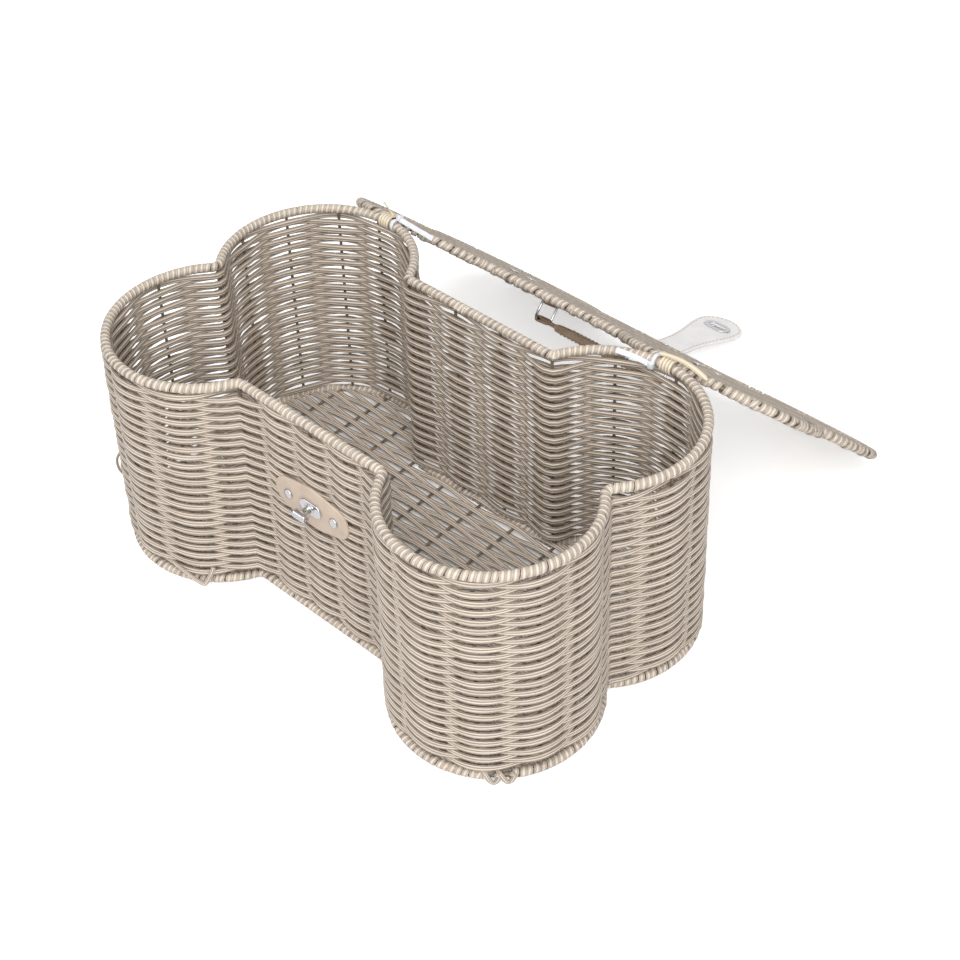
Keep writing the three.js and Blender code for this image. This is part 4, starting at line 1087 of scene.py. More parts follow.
@dataclass
class HingeTies:
    """Two hinges, each a winding of cream strand round the rim and the lid, with a cable tie beside it."""

    layout: Layout
    bar: float = 4.35
    strand_gap: float = 0.35
    half_thickness: float = 0.8
    half_width: float = 1.45
    turns: int = 4
    pitch: float = 3.0
    tie_offset: float = 11.0
    tie_half_width: float = 1.7
    tie_half_thickness: float = 0.55
    tail_half_width: float = 2.3
    head: tuple[float, float, float] = (5.0, 6.0, 1.2)
    head_span: tuple[float, float] = (-0.4, 4.0)
    head_in: float = 3.2
    left_tail: float = 41.0
    right_tail: float = 30.0
    right_drop: float = 8.6
    spike: tuple[float, float, float] = (13.0, 9.0, 2.0)
    spike_shift: float = 9.0
    flat_end: float = 45.0
    flat_end_start: float = 15.0
    outlook: tuple[float, float, float] = (0.0, -0.4, -0.92)
    steps: int = 40

    def build(self, dresser: Dresser) -> None:
        """Adds both hinges."""
        for side, name in ((-1.0, "left"), (1.0, "right")):
            self._winding(dresser, side, name)
            self._tie(dresser, side, name)

    def _round(self, share: np.ndarray, radius: float) -> tuple[np.ndarray, np.ndarray]:
        """Points and outward directions on the loop round both bars, in the links' YZ plane.

        Args:
            share: How far round the loop, where 1 is once round.
            radius: Distance from a bar's middle.

        Returns:
            The points and directions as (Y, Z).
        """
        spacing = self.layout.bar_spacing
        arc = math.pi * radius
        total = 2 * spacing + 2 * arc
        run = np.mod(share, 1.0) * total
        top = np.clip((run - spacing) / arc, 0, 1) * math.pi
        bottom = np.clip((run - 2 * spacing - arc) / arc, 0, 1) * math.pi
        angle = top + bottom
        way = np.stack([np.cos(angle), np.sin(angle)], axis=-1)
        rise = np.clip(run, 0, spacing) - np.clip(run - spacing - arc, 0, spacing)
        return radius * way + np.stack([np.zeros_like(rise), rise], axis=-1), way

    def _loop(self, x: np.ndarray, share: np.ndarray, radius: float) -> tuple[np.ndarray, np.ndarray]:
        """Points and outward directions of a loop at places along the bars, in the part's frame."""
        points, way = self._round(share, radius)
        links = self.layout.links
        return links.put(np.column_stack([x, points])), links.turn(np.column_stack([np.zeros_like(x), way]))

    def _winding(self, dresser: Dresser, side: float, name: str) -> None:
        """Adds the turns of strand and their loose end."""
        share = np.linspace(0, self.turns, self.turns * self.steps + 1)
        radius = self.bar + self.strand_gap + self.half_thickness
        x = side * self.layout.hinge_x + self.pitch * (share - self.turns / 2)
        maker = MeshMaker()
        maker.sweep(*self._loop(x, share, radius), oval(self.half_thickness, self.half_width, 8, 0.75), 0.5)
        dresser.piece(maker, f"hinge_turns_{name}", dresser.finishes.cream,
                      (f"hinge_binding_{name}",), Body.LINKS)
        self._loose_end(dresser, float(x[-1] if side > 0 else x[0] + self.spike_shift), side, name)

    def _loose_end(self, dresser: Dresser, x: float, side: float, name: str) -> None:
        """Adds the strand's free end on the lid: a short spike up on the left, a long flat tail on the right."""
        maker = MeshMaker()
        share = np.linspace(0, 1, 20)
        top = self.bar + self.strand_gap + self.half_thickness
        if side < 0:
            back, out, down = self.spike
            path = np.column_stack([x - back * share, -top - out * share, self.layout.bar_spacing / 2 - down * share])
            width = np.interp(share, [0, 0.3, 1], [0.9, 0.6, 0.4])
        else:
            sag = 4.5 * share**2 - 2.5 * np.sin(np.pi * share)
            run = x - self.flat_end_start + self.flat_end * share
            # It lies clear of the turns and rises towards the lid.
            path = np.column_stack([run, sag - top - 1.6, -1 + 6 * share])
            width = np.interp(share, [0, 0.9, 1], [1.2, 1.5, 0.9])
        section = oval(self.half_thickness * np.sqrt(width), self.half_width * width, 10, 0.8)
        maker.sweep(self.layout.links.put(path), self.layout.links.turn(self.outlook), section, 0.5)
        dresser.piece(maker, f"hinge_end_{name}", dresser.finishes.cream, (), Body.LID)

    def _tie(self, dresser: Dresser, side: float, name: str) -> None:
        """Adds the tie's band, its head and its tail, which lies along the bars towards the waist."""
        share = np.linspace(0, 1, self.steps, endpoint=False)
        radius = self.bar + self.strand_gap + self.tie_half_thickness
        x = side * (self.layout.hinge_x - self.tie_offset)
        place = self.layout.links
        maker = MeshMaker()
        band = oval(self.tie_half_thickness, self.tie_half_width, 10, 0.5)
        maker.sweep(*self._loop(np.full(len(share), x), share, radius), band, closed=True)
        run = np.linspace(0, 1, 20)
        if side < 0:
            # This tail lies on top, between the two rings.
            head = place.at(x, -radius, self.layout.bar_spacing * 0.5).facing((1, 0, 0), (0, -1, 0))
            rise = self.layout.bar_spacing * 0.35 + 3 * run
            tail = np.column_stack([x + self.left_tail * run, 3.5 * run - radius - 0.6, rise])
        else:
            # This tail follows the rim round the inside of the lobe.
            head = place.at(x, self.head_in, -radius + 0.6).facing((1, 0, 0), (0, 0.25, -1))
            drop = -radius - 1.8 - self.right_drop * run**2
            tail = np.column_stack([x - self.right_tail * run, self.head_in - 1.5 * run, drop])
        rim, normals = block_rim(*self.head)
        free = MeshMaker()
        # The right head stays inside the rim with its tail, and the band turns through it.
        (maker if side < 0 else free).plate(rim, normals, head, *self.head_span, 0.9)
        section = oval(np.full(len(run), self.tie_half_thickness), np.full(len(run), self.tail_half_width), 10, 0.4)
        dresser.piece(maker, f"tie_{name}", dresser.finishes.nylon, (f"cable_tie_{name}",), Body.LINKS)
        free.sweep(place.put(tail), place.turn(self.outlook), section)
        rest = Body.LID if side < 0 else Body.BASKET
        dresser.piece(free, f"tie_tail_{name}", dresser.finishes.nylon, (), rest)


@dataclass
class Fastener:
    """A domed tubular rivet through leather and weave, with a washer behind."""

    head: float = 4.5
    rise: float = 2.2
    shank: float = 1.5
    washer: float = 5.0
    washer_thickness: float = 1.0

    def build(self, dresser: Dresser, place: Place, behind: float, names: tuple[str, str], body: Body) -> None:
        """Adds a rivet and its washer.

        Args:
            dresser: Where pieces are made.
            place: Frame on the leather's face, with +Z out of it.
            behind: Height of the washer's near face in that frame.
            names: The solids of the rivet and of the washer.
            body: What both ride on.
        """
        rivet = MeshMaker()
        turn = np.linspace(0, np.pi / 2, 7)
        dome = [(self.head * math.cos(a), 0.7 + (self.rise - 0.7) * math.sin(a)) for a in turn[:-1]]
        profile = [(self.shank, behind), (self.shank, 0.0), (self.head - 0.3, 0.0), (self.head, 0.3), *dome,
                   (0.25, self.rise)]
        rivet.turned(profile, place)
        dresser.piece(rivet, f"{names[0]}_dome", dresser.finishes.chrome, (names[0],), body)
        washer = MeshMaker()
        low = behind - self.washer_thickness
        profile = [(self.shank, low - 0.05), (self.shank + 1.0, low - 0.1), (self.shank + 1.3, low), (4.4, low + 0.05),
                   (4.9, low + 0.3), (self.washer, low + 0.6), (4.9, behind), (self.shank, behind)]
        washer.turned(profile, place)
        dresser.piece(washer, f"{names[1]}_ring", dresser.finishes.chrome, (names[1],), body)


@dataclass
class TurnLock:
    """The lock on the front waist: a leather patch, an oval base plate and a bar that turns on it."""

    height: float = 131.0
    patch_back: float = -99.3
    patch_thickness: float = 2.5
    patch_length: float = 85.0
    patch_end: float = 15.2
    patch_middle: float = 20.0
    rivet_x: float = 26.5
    rivet_face: float = -102.1
    washer_face: float = -90.7
    plate: tuple[float, float, float] = (25.0, 13.0, 1.5)
    knob: tuple[float, float, float] = (16.0, 5.4, 13.9)
    knob_face: float = -103.6
    spindle: float = 3.4
    flange: tuple[float, float] = (4.2, 0.4)
    bar_clear: float = 7.3
    roll: float = 2.1

    def build(self, dresser: Dresser) -> None:
        """Adds the lock."""
        face = Place.world(0.0, self.patch_back, self.height).facing((1, 0, 0), (0, -1, 0))
        end, middle = self.patch_end, self.patch_middle
        reach = self.patch_length / 2 - end
        rim, normals = hull_rim([(reach, 0, end), (0, 0.2, middle), (-reach, 0, end), (0, -0.2, middle)], 5.0)
        patch = MeshMaker()
        patch.plate(rim, normals, face, 0.0, self.patch_thickness, 0.9)
        dresser.piece(patch, "lock_leather", dresser.finishes.leather, ("lock_patch",), Body.BASKET)
        seat = face.at(0.0, 0.0, self.patch_back - self.rivet_face)
        plate = MeshMaker()
        length, width, thickness = self.plate
        rim, normals = stadium_rim(length, width)
        plate.plate(rim, normals, seat, 0.0, thickness, 0.7)
        plate.turned([(5.6, thickness - 0.2), (5.6, thickness + 0.25), (5.1, thickness + 0.5), (4.4, thickness + 0.2)],
                     seat)
        dresser.piece(plate, "lock_base_plate", dresser.finishes.chrome, ("lock_plate",), Body.BASKET)
        self._bar(dresser, face.at(0.0, 0.0, self.patch_back - self.knob_face))
        for side, name in ((-1, "left"), (1, "right")):
            place = face.at(side * self.rivet_x, 0.0, self.patch_back - self.rivet_face)
            names = (f"lock_rivet_{name}", f"lock_washer_{name}")
            Fastener().build(dresser, place, self.rivet_face - self.washer_face, names, Body.BASKET)

    def _bar(self, dresser: Dresser, place: Place) -> None:
        """Adds the turning bar on its spindle: a deep block, clear of the shut tab, with a rolled front edge."""
        length, width, top = self.knob
        flange, flange_rise = self.flange
        bar = MeshMaker()
        bar.turned([(flange, 0.1), (flange, flange_rise), (self.spindle + 0.3, flange_rise + 0.2),
                    (self.spindle, flange_rise + 0.6), (self.spindle, self.bar_clear + 0.8)], place)
        rim, normals = stadium_rim(length, width)
        bar.plate(rim, normals, place, self.bar_clear, top - self.roll, 1.0)
        run = np.linspace(-length / 2 + 0.4, length / 2 - 0.4, 18)
        roll = np.column_stack([run, np.zeros(18), np.full(18, top - self.roll)])
        swell = self.roll * (1 - (run / (length / 2)) ** 8) ** 0.5
        bar.sweep(place.put(roll), place.z, oval(swell, swell * 1.6, 14))
        dresser.piece(bar, "lock_turn_bar", dresser.finishes.chrome, ("lock_knob",), Body.KNOB)


@dataclass
class Handle:
    """The carrying handle on the lid: two riveted chapes, a wire ring in each, and a grip between them."""

    lid: Place
    span: float = 136.0
    middle_y: float = -153.0
    seat: float = 3.8
    pivot: float = 7.25
    leather: float = 1.8
    chape: float = 70.0
    width: float = 20.0
    rivets: tuple[float, float] = (32.0, 54.0)
    ring_wire: float = 1.25
    ring_width: float = 28.0
    ring_drop: float = 18.0
    ring_corner: float = 3.0
    grip: tuple[float, float, float] = (92.0, 26.0, 8.0)
    wrap_past: float = 28.0

    def build(self, dresser: Dresser) -> None:
        """Adds the handle."""
        for side, name, ring in ((-1, "left", Body.RING_LEFT), (1, "right", Body.RING_RIGHT)):
            # Local +X runs along the chape, away from the grip.
            place = self.lid.at(side * self.span / 2, self.middle_y, self.pivot).facing((side, 0, 0), (0, 0, 1))
            self._chape(dresser, place, name)
            self._ring(dresser, place, name, ring)
            for number, x in enumerate(self.rivets, start=1):
                top = self.seat + 2 * self.leather + 0.3
                names = (f"chape_rivet_{name}_{number}", f"chape_washer_{name}_{number}")
                Fastener().build(dresser, place.at(x, 0.0, top - self.pivot), LID_WASHER_FACE - top, names, Body.LID)
        self._grip(dresser, self.lid.at(0.0, self.middle_y, self.pivot + self.ring_drop))

    def _strip(self, place: Place, flat: np.ndarray, tangent: np.ndarray, closed: bool) -> MeshMaker:
        """A strip of leather with soft edges.

        Args:
            place: Frame of the strip, which lies across its Y axis.
            flat: Points of the strip's middle, as (X, Z).
            tangent: The strip's direction at each point.
            closed: Whether it ends where it starts.

        Returns:
            The strip's mesh.
        """
        still = np.zeros(len(flat))
        path = place.put(np.column_stack([flat[:, 0], still, flat[:, 1]]))
        side = place.turn(np.column_stack([tangent[:, 1], still, -tangent[:, 0]]))
        maker = MeshMaker()
        maker.sweep(path, side, oval(self.leather / 2 - 0.05, self.width / 2, 20, 0.28), closed=closed)
        return maker

    def _loop(self, radius: float, first: float, last: float, steps: int = 14) -> np.ndarray:
        """Points of an arc round the ring's bar, as (X, Z)."""
        angle = np.radians(np.linspace(first, last, steps))
        return radius * np.stack([np.cos(angle), np.sin(angle)], axis=1)

    def _chape(self, dresser: Dresser, place: Place, name: str) -> None:
        """Adds a strip folded round the ring's bar, with both layers on the lid."""
        under = self.seat - self.pivot + self.leather / 2
        over = under + self.leather
        radius = self.ring_wire + 0.4 + self.leather / 2
        fold = self._loop(radius, -62, -318)
        straight_in = np.stack([np.linspace(self.chape, 6.5, 12), np.full(12, under)], axis=1)
        straight_out = np.stack([np.linspace(7.5, self.chape - 0.8, 12), np.full(12, over)], axis=1)
        flat = np.concatenate([straight_in, fold, straight_out])
        maker = self._strip(place, flat, np.gradient(flat, axis=0), False)
        dresser.piece(maker, f"chape_{name}", dresser.finishes.strap, (f"handle_chape_{name}",), Body.LID)

    def _ring(self, dresser: Dresser, place: Place, name: str, body: Body) -> None:
        """Adds a rectangular ring of bent wire."""
        rim, normals = block_rim(self.ring_width, self.ring_drop, self.ring_corner)
        path = np.column_stack([np.zeros(len(rim)), rim[:, 0], rim[:, 1] + self.ring_drop / 2])
        side = np.column_stack([np.zeros(len(rim)), normals])
        maker = MeshMaker()
        maker.sweep(place.put(path), place.turn(side), oval(self.ring_wire, self.ring_wire, 12), closed=True)
        dresser.piece(maker, f"ring_{name}_wire", dresser.finishes.chrome, (f"handle_ring_{name}",), body)

    def _grip(self, dresser: Dresser, place: Place) -> None:
        """Adds the strap looped through both rings, the folded sleeve round it and its stitching."""
        radius = self.ring_wire + 0.4 + self.leather / 2
        half = self.span / 2
        top = np.stack([np.linspace(-half + 4, half - 4, 24), np.full(24, self.leather / 2)], axis=1)
        right = self._loop(radius, 90 + self.wrap_past, -90 - self.wrap_past) + [half, 0]
        under = np.stack([np.linspace(half - 4, -half + 4, 24), np.full(24, -self.leather / 2)], axis=1)
        left = self._loop(radius, 270 + self.wrap_past, 90 - self.wrap_past) + [-half, 0]
        flat = np.concatenate([top, right, under, left])
        strap = self._strip(place, flat, np.roll(flat, -1, 0) - np.roll(flat, 1, 0), True)
        dresser.piece(strap, "grip_strap", dresser.finishes.strap, (), Body.GRIP)
        length, width, thickness = self.grip
        share = np.linspace(-1, 1, 41)
        run = share * length / 2
        close = np.sqrt(np.clip(1 - ((np.abs(run) - length / 2 + 3) / 3).clip(0, 1) ** 2, 0.12, 1))
        sleeve = MeshMaker()
        path = place.put(np.column_stack([run, np.zeros_like(run), np.zeros_like(run)]))
        section = oval(thickness / 2 * close, width / 2 - 1.5 * (1 - close), 28, 0.45)
        sleeve.sweep(path, place.z, section)
        dresser.piece(sleeve, "grip_sleeve", dresser.finishes.sleeve, ("handle_grip",), Body.GRIP)
        seams = MeshMaker()
        for face in (-1, 1):
            for edge in (-1, 1):
                row = np.column_stack([run[3:-3], np.full(35, edge * (width / 2 - 3.4)),
                                       np.full(35, face * (thickness / 2 - 0.12))])
                seams.stitches(place.put(row), place.z * face)
        dresser.piece(seams, "grip_stitching", dresser.finishes.thread, (), Body.GRIP)


@dataclass
class ClaspTab:
    """The clasp: one leather strap riveted to the lid's front edge, folding into a tongue with a metal slot."""

    layout: Layout
    strap: float = 46.0
    neck: float = 34.0
    bulb: float = 50.0
    waist: float = 4.0
    slot_reach: float = 95.73
    thickness: float = 2.5
    fold_gap: float = 1.55
    slot: tuple[float, float] = (20.0, 9.0)
    border: float = 4.0
    frame_plate: float = 0.8
    fold_reach: float = 260.35
    fold_height: float = 5.55
    rivet_x: float = 14.0
    rivet_inset: float = 20.0
    soft: float = 7.0
    seam_inset: float = 3.0
    rear_corner: float = 4.0

    def build(self, dresser: Dresser) -> None:
        """Adds the clasp."""
        self._leather(dresser)
        for side, name in ((1, "front"), (-1, "back")):
            self._slot_frame(dresser, side, name)
        for side, name in ((-1, "left"), (1, "right")):
            top = self.fold_height + self.thickness / 2 + 0.3
            place = self.layout.lid.at(side * self.rivet_x, -self.fold_reach + self.fold_gap + self.rivet_inset, top)
            names = (f"tab_rivet_{name}", f"tab_washer_{name}")
            Fastener().build(dresser, place, LID_WASHER_FACE - top, names, Body.LID)

    def _half_width(self, along: np.ndarray) -> np.ndarray:
        """Half of the leather's width at distances past the fold, which are negative on the strap."""
        radius, half = self.bulb / 2, self.neck / 2
        tilt = math.asin((radius - half) / self.slot_reach)
        straight = half / math.cos(tilt) + np.clip(along, 0, None) * math.tan(tilt)
        straight = straight - self.waist * np.sin(np.pi * np.clip(along / (self.slot_reach - 8.0), 0, 1)) ** 1.5
        past = along - self.slot_reach
        round_end = np.sqrt(np.clip(radius**2 - past**2, 0, None))
        width = np.where(past > -radius * math.sin(tilt), round_end, straight)
        corner = self.rear_corner
        rear = np.clip(along + self.strap + self.fold_gap, 0, corner)
        return np.where(along < 0, half - corner + np.sqrt(np.clip(corner**2 - (corner - rear) ** 2, 0, None)), width)

    def _spot(self, along: np.ndarray, across: np.ndarray, height: np.ndarray) -> np.ndarray:
        """Points of the leather in the part's frame, bent over the fold.

        Args:
            along: Distance past the fold.
            across: Place across the width.
            height: Place through the thickness, from its middle.

        Returns:
            The points.
        """
        lid, tab = self.layout.lid, self.layout.tab
        bend = math.acos(float(np.clip(np.dot(lid.y, tab.y), -1, 1)))
        soft = self.soft
        share = np.clip((along + soft) / (2 * soft), 0, 1)
        turn = bend * share
        radius = soft * 2 / bend
        start = self._lid_fold().origin + lid.y * soft
        arc_y = -radius * np.sin(turn)
        arc_z = radius * (1 - np.cos(turn))
        middle = start + arc_y[..., None] * lid.y + arc_z[..., None] * lid.z * self._bend_side()
        out = lid.z * np.cos(turn)[..., None] + lid.y * np.sin(turn)[..., None] * self._bend_side()
        ahead = -lid.y * np.cos(turn)[..., None] + lid.z * np.sin(turn)[..., None] * self._bend_side()
        before, after = np.clip(along + soft, None, 0), np.clip(along - soft, 0, None)
        middle = middle + ahead * (before + after)[..., None]
        return middle + across[..., None] * lid.x + height[..., None] * out

    def _lid_fold(self) -> Place:
        """The lid's frame, moved to the fold."""
        return self.layout.lid.at(0.0, -self.fold_reach, self.fold_height)

    def _bend_side(self) -> float:
        """Whether the tongue bends towards the lid's outer face or away from it."""
        return 1.0 if float(np.dot(-self.layout.tab.y, self.layout.lid.z)) > 0 else -1.0

    def _leather(self, dresser: Dresser) -> None:
        """Adds the strap and tongue in one piece, with the slot cut and the edge stitched."""
        radius = self.bulb / 2
        tip = self.slot_reach + radius
        along = np.concatenate([np.linspace(-self.strap - self.fold_gap + 0.3, -14, 14), np.linspace(-12, 12, 19),
                                np.linspace(16, self.slot_reach, 24),
                                self.slot_reach + radius * np.sin(np.linspace(0.08, math.pi / 2 - 0.05, 16))])
        half = self._half_width(along)
        ring = oval(1.0, 1.0, 44, 0.18)
        # The section's first direction is the thickness, and its edges are rounded by the high power.
        thick = self.thickness / 2 * ring[:, 0]
        wide = half[:, None] * ring[:, 1][None]
        spots = self._spot(np.broadcast_to(along[:, None], wide.shape), wide, np.broadcast_to(thick, wide.shape))
        maker = MeshMaker()
        maker.rings(spots)
        made = dresser.piece(maker, "clasp_leather", dresser.finishes.tab, ("tab_strap", "tab_tongue"), None)
        self._cut_slot(made)
        start = self._lid_fold().put(np.array([0.0, self.soft, 0.0])) * MM
        end = self.layout.tab.put(np.array([0.0, -self.soft, 0.0])) * MM
        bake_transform(made)
        seam = MeshMaker()
        seam_radius = radius - self.seam_inset
        round_part = self.slot_reach + seam_radius * np.sin(np.linspace(0.05, math.pi / 2, 20))
        run = np.concatenate([np.linspace(12, self.slot_reach, 30), round_part])
        inner = np.clip(self._half_width(np.minimum(run, tip - 0.2)) - self.seam_inset, 0, None)
        inner[30:] = np.sqrt(np.clip(seam_radius**2 - (run[30:] - self.slot_reach) ** 2, 0, None))
        loop_along = np.concatenate([run, run[::-1]])
        loop_across = np.concatenate([inner, -inner[::-1]])
        for face in (1, -1):
            height = np.full(len(loop_along), face * self.thickness / 2)
            path = self._spot(loop_along, loop_across, height)
            seam.stitches(path, self.layout.tab.z * face)
        dresser.piece(seam, "tab_stitching", dresser.finishes.thread, (), Body.TAB)

    def _cut_slot(self, made: bpy.types.Object) -> None:
        """Cuts the slot through the tongue."""
        length, width = self.slot
        cutter = MeshMaker()
        rim, normals = stadium_rim(length + 1.0, width + 1.0)
        place = self.layout.tab.at(0.0, -self.slot_reach, 0.0)
        cutter.plate(rim, normals, place, -8.0, 8.0, 0.2)
        tool = add_object("slot_cutter", cutter.mesh("slot_cutter"))
        cut = made.modifiers.new("slot", "BOOLEAN")
        cut.object = tool
        cut.operation = "DIFFERENCE"
        graph = bpy.context.evaluated_depsgraph_get()
        mesh = bpy.data.meshes.new_from_object(made.evaluated_get(graph))
        made.modifiers.clear()
        made.data = mesh
        bpy.data.objects.remove(tool)

    def _slot_frame(self, dresser: Dresser, side: int, name: str) -> None:
        """Adds a stamped frame round the slot on one face."""
        length, width = self.slot
        rim, normals = stadium_rim(length + self.border, width + self.border)
        height = side * (self.thickness / 2 + 0.3 + self.frame_plate / 2)
        path = np.column_stack([rim, np.full(len(rim), height)])
        place = self.layout.tab.at(0.0, -self.slot_reach, 0.0)
        still = np.zeros((len(rim), 1))
        maker = MeshMaker()
        section = oval(self.border / 2, self.frame_plate / 2 + 0.25, 16, 0.7)
        maker.sweep(place.put(path), place.turn(np.concatenate([normals, still], axis=1)), section, closed=True)
        dresser.piece(maker, f"slot_rim_{name}", dresser.finishes.chrome, (f"tab_slot_{name}",), Body.TAB)


@dataclass(frozen=True)
class Viewpoint:
    """The photograph's camera, found by fitting the rim and the base to it.

    Attributes:
        azimuth: Degrees round from the front, towards +X.
        elevation: Degrees above the floor.
        distance: Millimetres from the target.
        roll: Degrees that the picture is turned.
        target: Point on the camera's axis.
        focal: Focal length in pixels of the 960-pixel picture.
        centre: Pixel that the camera's axis meets.
    """

    azimuth: float = 43.897
    elevation: float = 35.137
    distance: float = 1811.05
    roll: float = -1.633
    target: tuple[float, float, float] = (-129.7, 246.35, 110.0)
    focal: float = 1902.4
    centre: tuple[float, float] = (489.8, 278.8)
    picture: float = 960.0
    sensor: float = 36.0

    def place(self) -> None:
        """Adds the camera and makes it the scene's."""
        turn, rise, roll = (math.radians(a) for a in (self.azimuth, self.elevation, self.roll))
        back = Vector((math.sin(turn) * math.cos(rise), -math.cos(turn) * math.cos(rise), math.sin(rise)))
        right = Vector((math.cos(turn), math.sin(turn), 0.0))
        up = back.cross(right)
        rolled_right = right * math.cos(roll) + up * math.sin(roll)
        rolled_up = up * math.cos(roll) - right * math.sin(roll)
        data = bpy.data.cameras.new("view")
        data.sensor_width = self.sensor
        data.lens = self.focal / self.picture * self.sensor
        data.shift_x = (self.picture / 2 - self.centre[0]) / self.picture
        data.shift_y = (self.centre[1] - self.picture / 2) / self.picture
        data.clip_end = 50.0
        camera = add_object("view", data)
        axes = Matrix((rolled_right, rolled_up, back)).transposed().to_4x4()
        axes.translation = (Vector(self.target) + back * self.distance) * MM
        camera.matrix_world = axes
        bpy.context.scene.camera = camera


@dataclass
class Studio:
    """A white sweep with soft light from above and in front, so shadows are faint."""

    ambient: float = 0.43
    floor_size: float = 12.0
    floor_drop: float = 0.0004
    floor_lift: float = 0.42
    shade_end: float = 219.0
    shade_edge: float = 12.0
    lamp_target: tuple[float, float, float] = (0.0, 0.1, 0.1)
    card_target: tuple[float, float, float] = (0.0, -0.1, 0.13)

    def build(self) -> None:
        """Adds the floor, the world, the lamps and the camera."""
        bpy.context.scene.view_settings.view_transform = "Standard"
        self._floor()
        self._world()
        self._lamp("key", (2.0, -1.6, 2.1), 1.8, 68.0)
        self._lamp("top", (0.4, -0.9, 2.7), 1.8, 36.0)
        self._lamp("fill", (-2.0, -1.4, 1.7), 1.8, 13.0)
        self._card("card_left", (-1.1, -0.4, 0.22), 0.9)
        Viewpoint().place()

    def _floor(self) -> None:
        """Adds the paper floor, which keeps the shadow and is lifted to white for the camera."""
        graph = Graph("paper_matt_white")
        paper = graph.node("ShaderNodeBsdfDiffuse", {"Color": linear("#F4F4F4")})
        seen = graph.node("ShaderNodeLightPath").outputs["Is Camera Ray"]
        seen = graph.math("MULTIPLY", seen, self._beside_basket(graph))
        lift = graph.node("ShaderNodeEmission", {"Strength": graph.math("MULTIPLY", seen, self.floor_lift)})
        both = graph.node("ShaderNodeAddShader", {0: paper.outputs[0], 1: lift.outputs[0]})
        graph.node("ShaderNodeOutputMaterial", {"Surface": both.outputs[0]})
        self._square("paper_floor", self.floor_size, -self.floor_drop, graph.material)

    def _square(self, name: str, size: float, z: float, material: bpy.types.Material) -> bpy.types.Object:
        """Adds a flat square of the stage, with its sides and height in metres."""
        half = size / 2
        mesh = bpy.data.meshes.new(name)
        mesh.from_pydata([(-half, -half, z), (half, -half, z), (half, half, z), (-half, half, z)], [], [(0, 1, 2, 3)])
        mesh.materials.append(material)
        return add_object(name, mesh)

    def _aim(self, where: Vector, target: tuple[float, float, float]) -> Euler:
        """The turn that points something's -Z axis from a place at a target."""
        return (Vector(target) - where).to_track_quat("-Z", "Y").to_euler()

    def _beside_basket(self, graph: Graph) -> bpy.types.NodeSocket:
        """Adds a factor that is 1 beside the basket and 0 under it, where the paper stays in its shade."""
        spot = graph.node("ShaderNodeSeparateXYZ", {0: graph.node("ShaderNodeNewGeometry").outputs["Position"]})
        x, y = (graph.math("ABSOLUTE", spot.outputs[axis]) for axis in (0, 1))
        across = graph.math("SUBTRACT", x, BoneOutline.lobe_x * MM)
        along = graph.math("SUBTRACT", y, BoneOutline.lobe_y * MM)
        squares = (graph.math("POWER", graph.math("ABSOLUTE", way), 2.0) for way in (across, along))
        lobe = graph.math("SUBTRACT", graph.math("SQRT", graph.math("ADD", *squares)), BoneOutline.lobe_radius * MM)
        waist = graph.math("MAXIMUM", across, graph.math("SUBTRACT", y, BoneOutline.waist * MM))
        end = graph.math("MAXIMUM", graph.math("SUBTRACT", x, self.shade_end * MM), along)
        outside = graph.math("MINIMUM", lobe, graph.math("MINIMUM", waist, end))
        return graph.span(outside, 0.0, 1.0, -self.shade_edge * MM, 0.0)

    def _card(self, name: str, where: tuple[float, float, float], size: float) -> None:
        """Adds a dark card beside the lamps, which only shows as a dark edge in polished metal."""
        graph = Graph(f"{name}_black_felt")
        felt = graph.node("ShaderNodeBsdfDiffuse", {"Color": linear("#1C1A18")})
        graph.node("ShaderNodeOutputMaterial", {"Surface": felt.outputs[0]})
        card = self._square(name, size, 0.0, graph.material)
        card.location = where
        card.rotation_euler = self._aim(card.location, self.card_target)
        for ray in ("camera", "diffuse", "shadow", "transmission"):
            setattr(card, f"visible_{ray}", False)

    def _world(self) -> None:
        """Sets a white world that the camera and metal see in full and that lights the rest softly."""
        world = bpy.data.worlds.new("white_room")
        bpy.context.scene.world = world
        world.use_nodes = True
        tree = world.node_tree
        tree.nodes.clear()
        path = add_node(tree, "ShaderNodeLightPath")
        seen = path.outputs["Is Camera Ray"]
        for ray in ("Is Glossy Ray", "Is Transmission Ray"):
            seen = add_node(tree, "ShaderNodeMath", {0: seen, 1: path.outputs[ray]}, operation="MAXIMUM").outputs[0]
        span = {"Value": seen, "To Min": self.ambient, "To Max": 1.0}
        strength = add_node(tree, "ShaderNodeMapRange", span).outputs["Result"]
        white = add_node(tree, "ShaderNodeBackground", {"Color": (1.0, 1.0, 1.0, 1.0), "Strength": strength})
        add_node(tree, "ShaderNodeOutputWorld", {"Surface": white.outputs[0]})

    def _lamp(self, name: str, where: tuple[float, float, float], size: float, power: float) -> None:
        """Adds a square soft box aimed at the basket."""
        data = bpy.data.lights.new(name, "AREA")
        data.size = size
        data.energy = power
        lamp = add_object(name, data)
        lamp.location = where
        lamp.rotation_euler = self._aim(lamp.location, self.lamp_target)


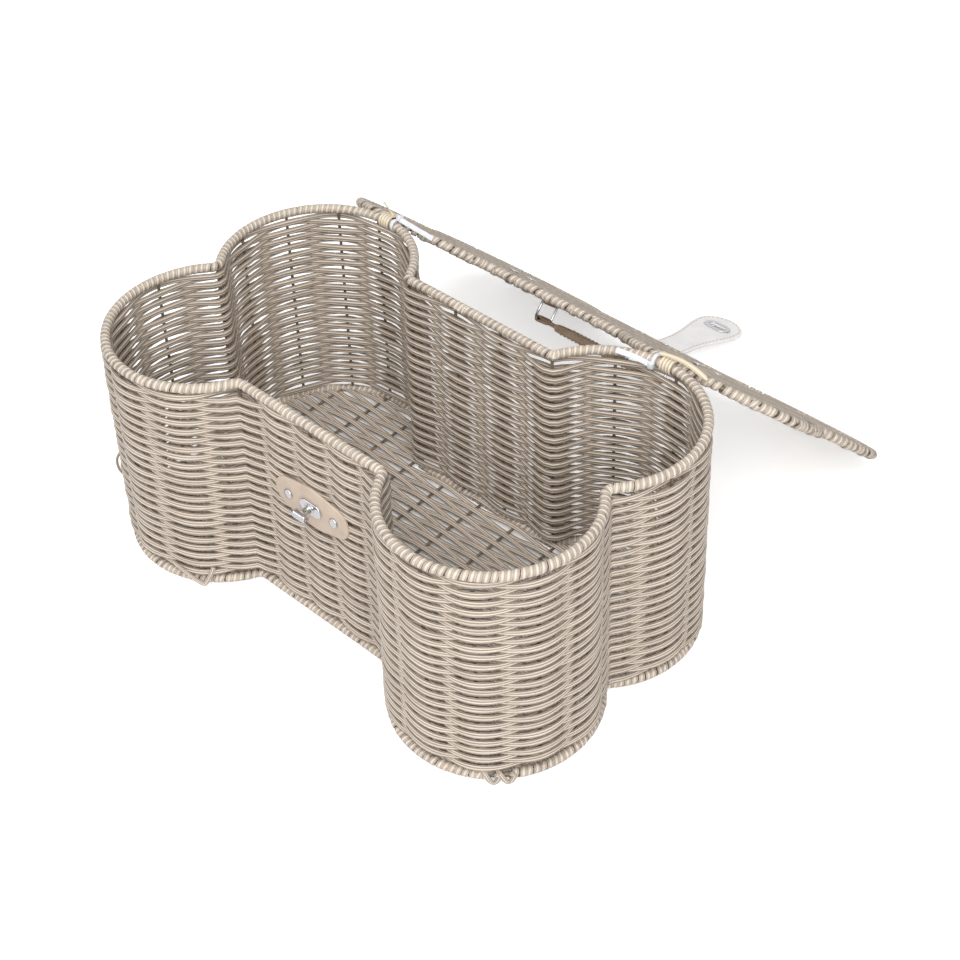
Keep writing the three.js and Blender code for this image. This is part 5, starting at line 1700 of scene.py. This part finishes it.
@dataclass
class Basket:
    """The whole basket, from its joints' frames to its pieces."""

    layout: Layout
    lid_overhang: float = 6.0
    lid_half: float = 153.0
    lid_group: tuple[float, float] = (9.0, 30.0)
    bare_foot: tuple[float, float] = (222.0, -125.0)
    bare_half: float = 10.0

    def build(self, dresser: Dresser) -> None:
        """Adds every piece."""
        rng = np.random.default_rng(SEED)
        rim = BoneOutline()
        lid = BoneOutline(self.lid_overhang)
        middle = self.layout.lid.at(0.0, -self.lid_half, 0.0)
        WireFrames(rim, lid).build(dresser, middle)
        WovenWall(rim).build(dresser, rng)
        FlatWeave(rim, Place.world(z=BASE_Z)).build(dresser, rng, "floor_weave", "woven_floor", Body.BASKET)
        FlatWeave(lid, middle).build(dresser, rng, "lid_panel", "lid_weave", Body.LID)
        stakes = rim.stakes()
        # Each knot: a point in plan beside the rim, its turns and their pitch.
        knots = [(rim.nearest(np.array(near)), turns, pitch)
                 for near, turns, pitch in (((-18.0, 95.5), 3.0, 4.2), ((84.0, 96.0), 1.0, 3.0),
                                            ((-30.0, -95.5), 1.0, 4.0))]
        upper = RingWrap(rim, Place.world(z=RIM_Z), stakes, knots=knots)
        upper.build(dresser, rng, "rim_wrap", "rim_binding", Body.BASKET)
        bare = rim.nearest(np.array(self.bare_foot))
        breaks = np.sort(np.append(stakes, bare))
        gaps = np.where(breaks == bare, self.bare_half, rng.uniform(0.8, 2.4, len(breaks)))
        lower = RingWrap(rim, Place.world(z=BASE_Z), breaks, gaps, rod=2.15, uneven=0.12, slack=0.25,
                         facing=-1.0)
        lower.build(dresser, rng, "base_wrap", "base_binding", Body.BASKET)
        StrayEnds(rim, self.bare_foot).build(dresser)
        groups = np.cumsum(rng.uniform(*self.lid_group, 160))
        groups = groups[groups < lid.length - self.lid_group[0]]
        gaps = rng.uniform(0.4, 2.6, len(groups))
        loops = [(where, 1.0, slant) for where, slant in zip(groups[::2], rng.uniform(3.0, 9.0, len(groups)))]
        edge = RingWrap(lid, middle, groups, gaps, uneven=0.15, slack=0.4, knots=loops, facing=-1.0,
                        half_width=2.9, pitch=6.0)
        edge.build(dresser, rng, "lid_wrap", "lid_binding", Body.LID)
        HingeTies(self.layout).build(dresser)
        TurnLock().build(dresser)
        Handle(self.layout.lid).build(dresser)
        ClaspTab(self.layout).build(dresser)


def main() -> None:
    """Loads the frame, dresses it and sets up the picture."""
    logging.basicConfig(level=logging.INFO, format="%(message)s")
    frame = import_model()
    Basket(Layout.from_joints(frame["joints"])).build(Dresser(Finishes()))
    Studio().build()


if __name__ == "__main__":
    main()
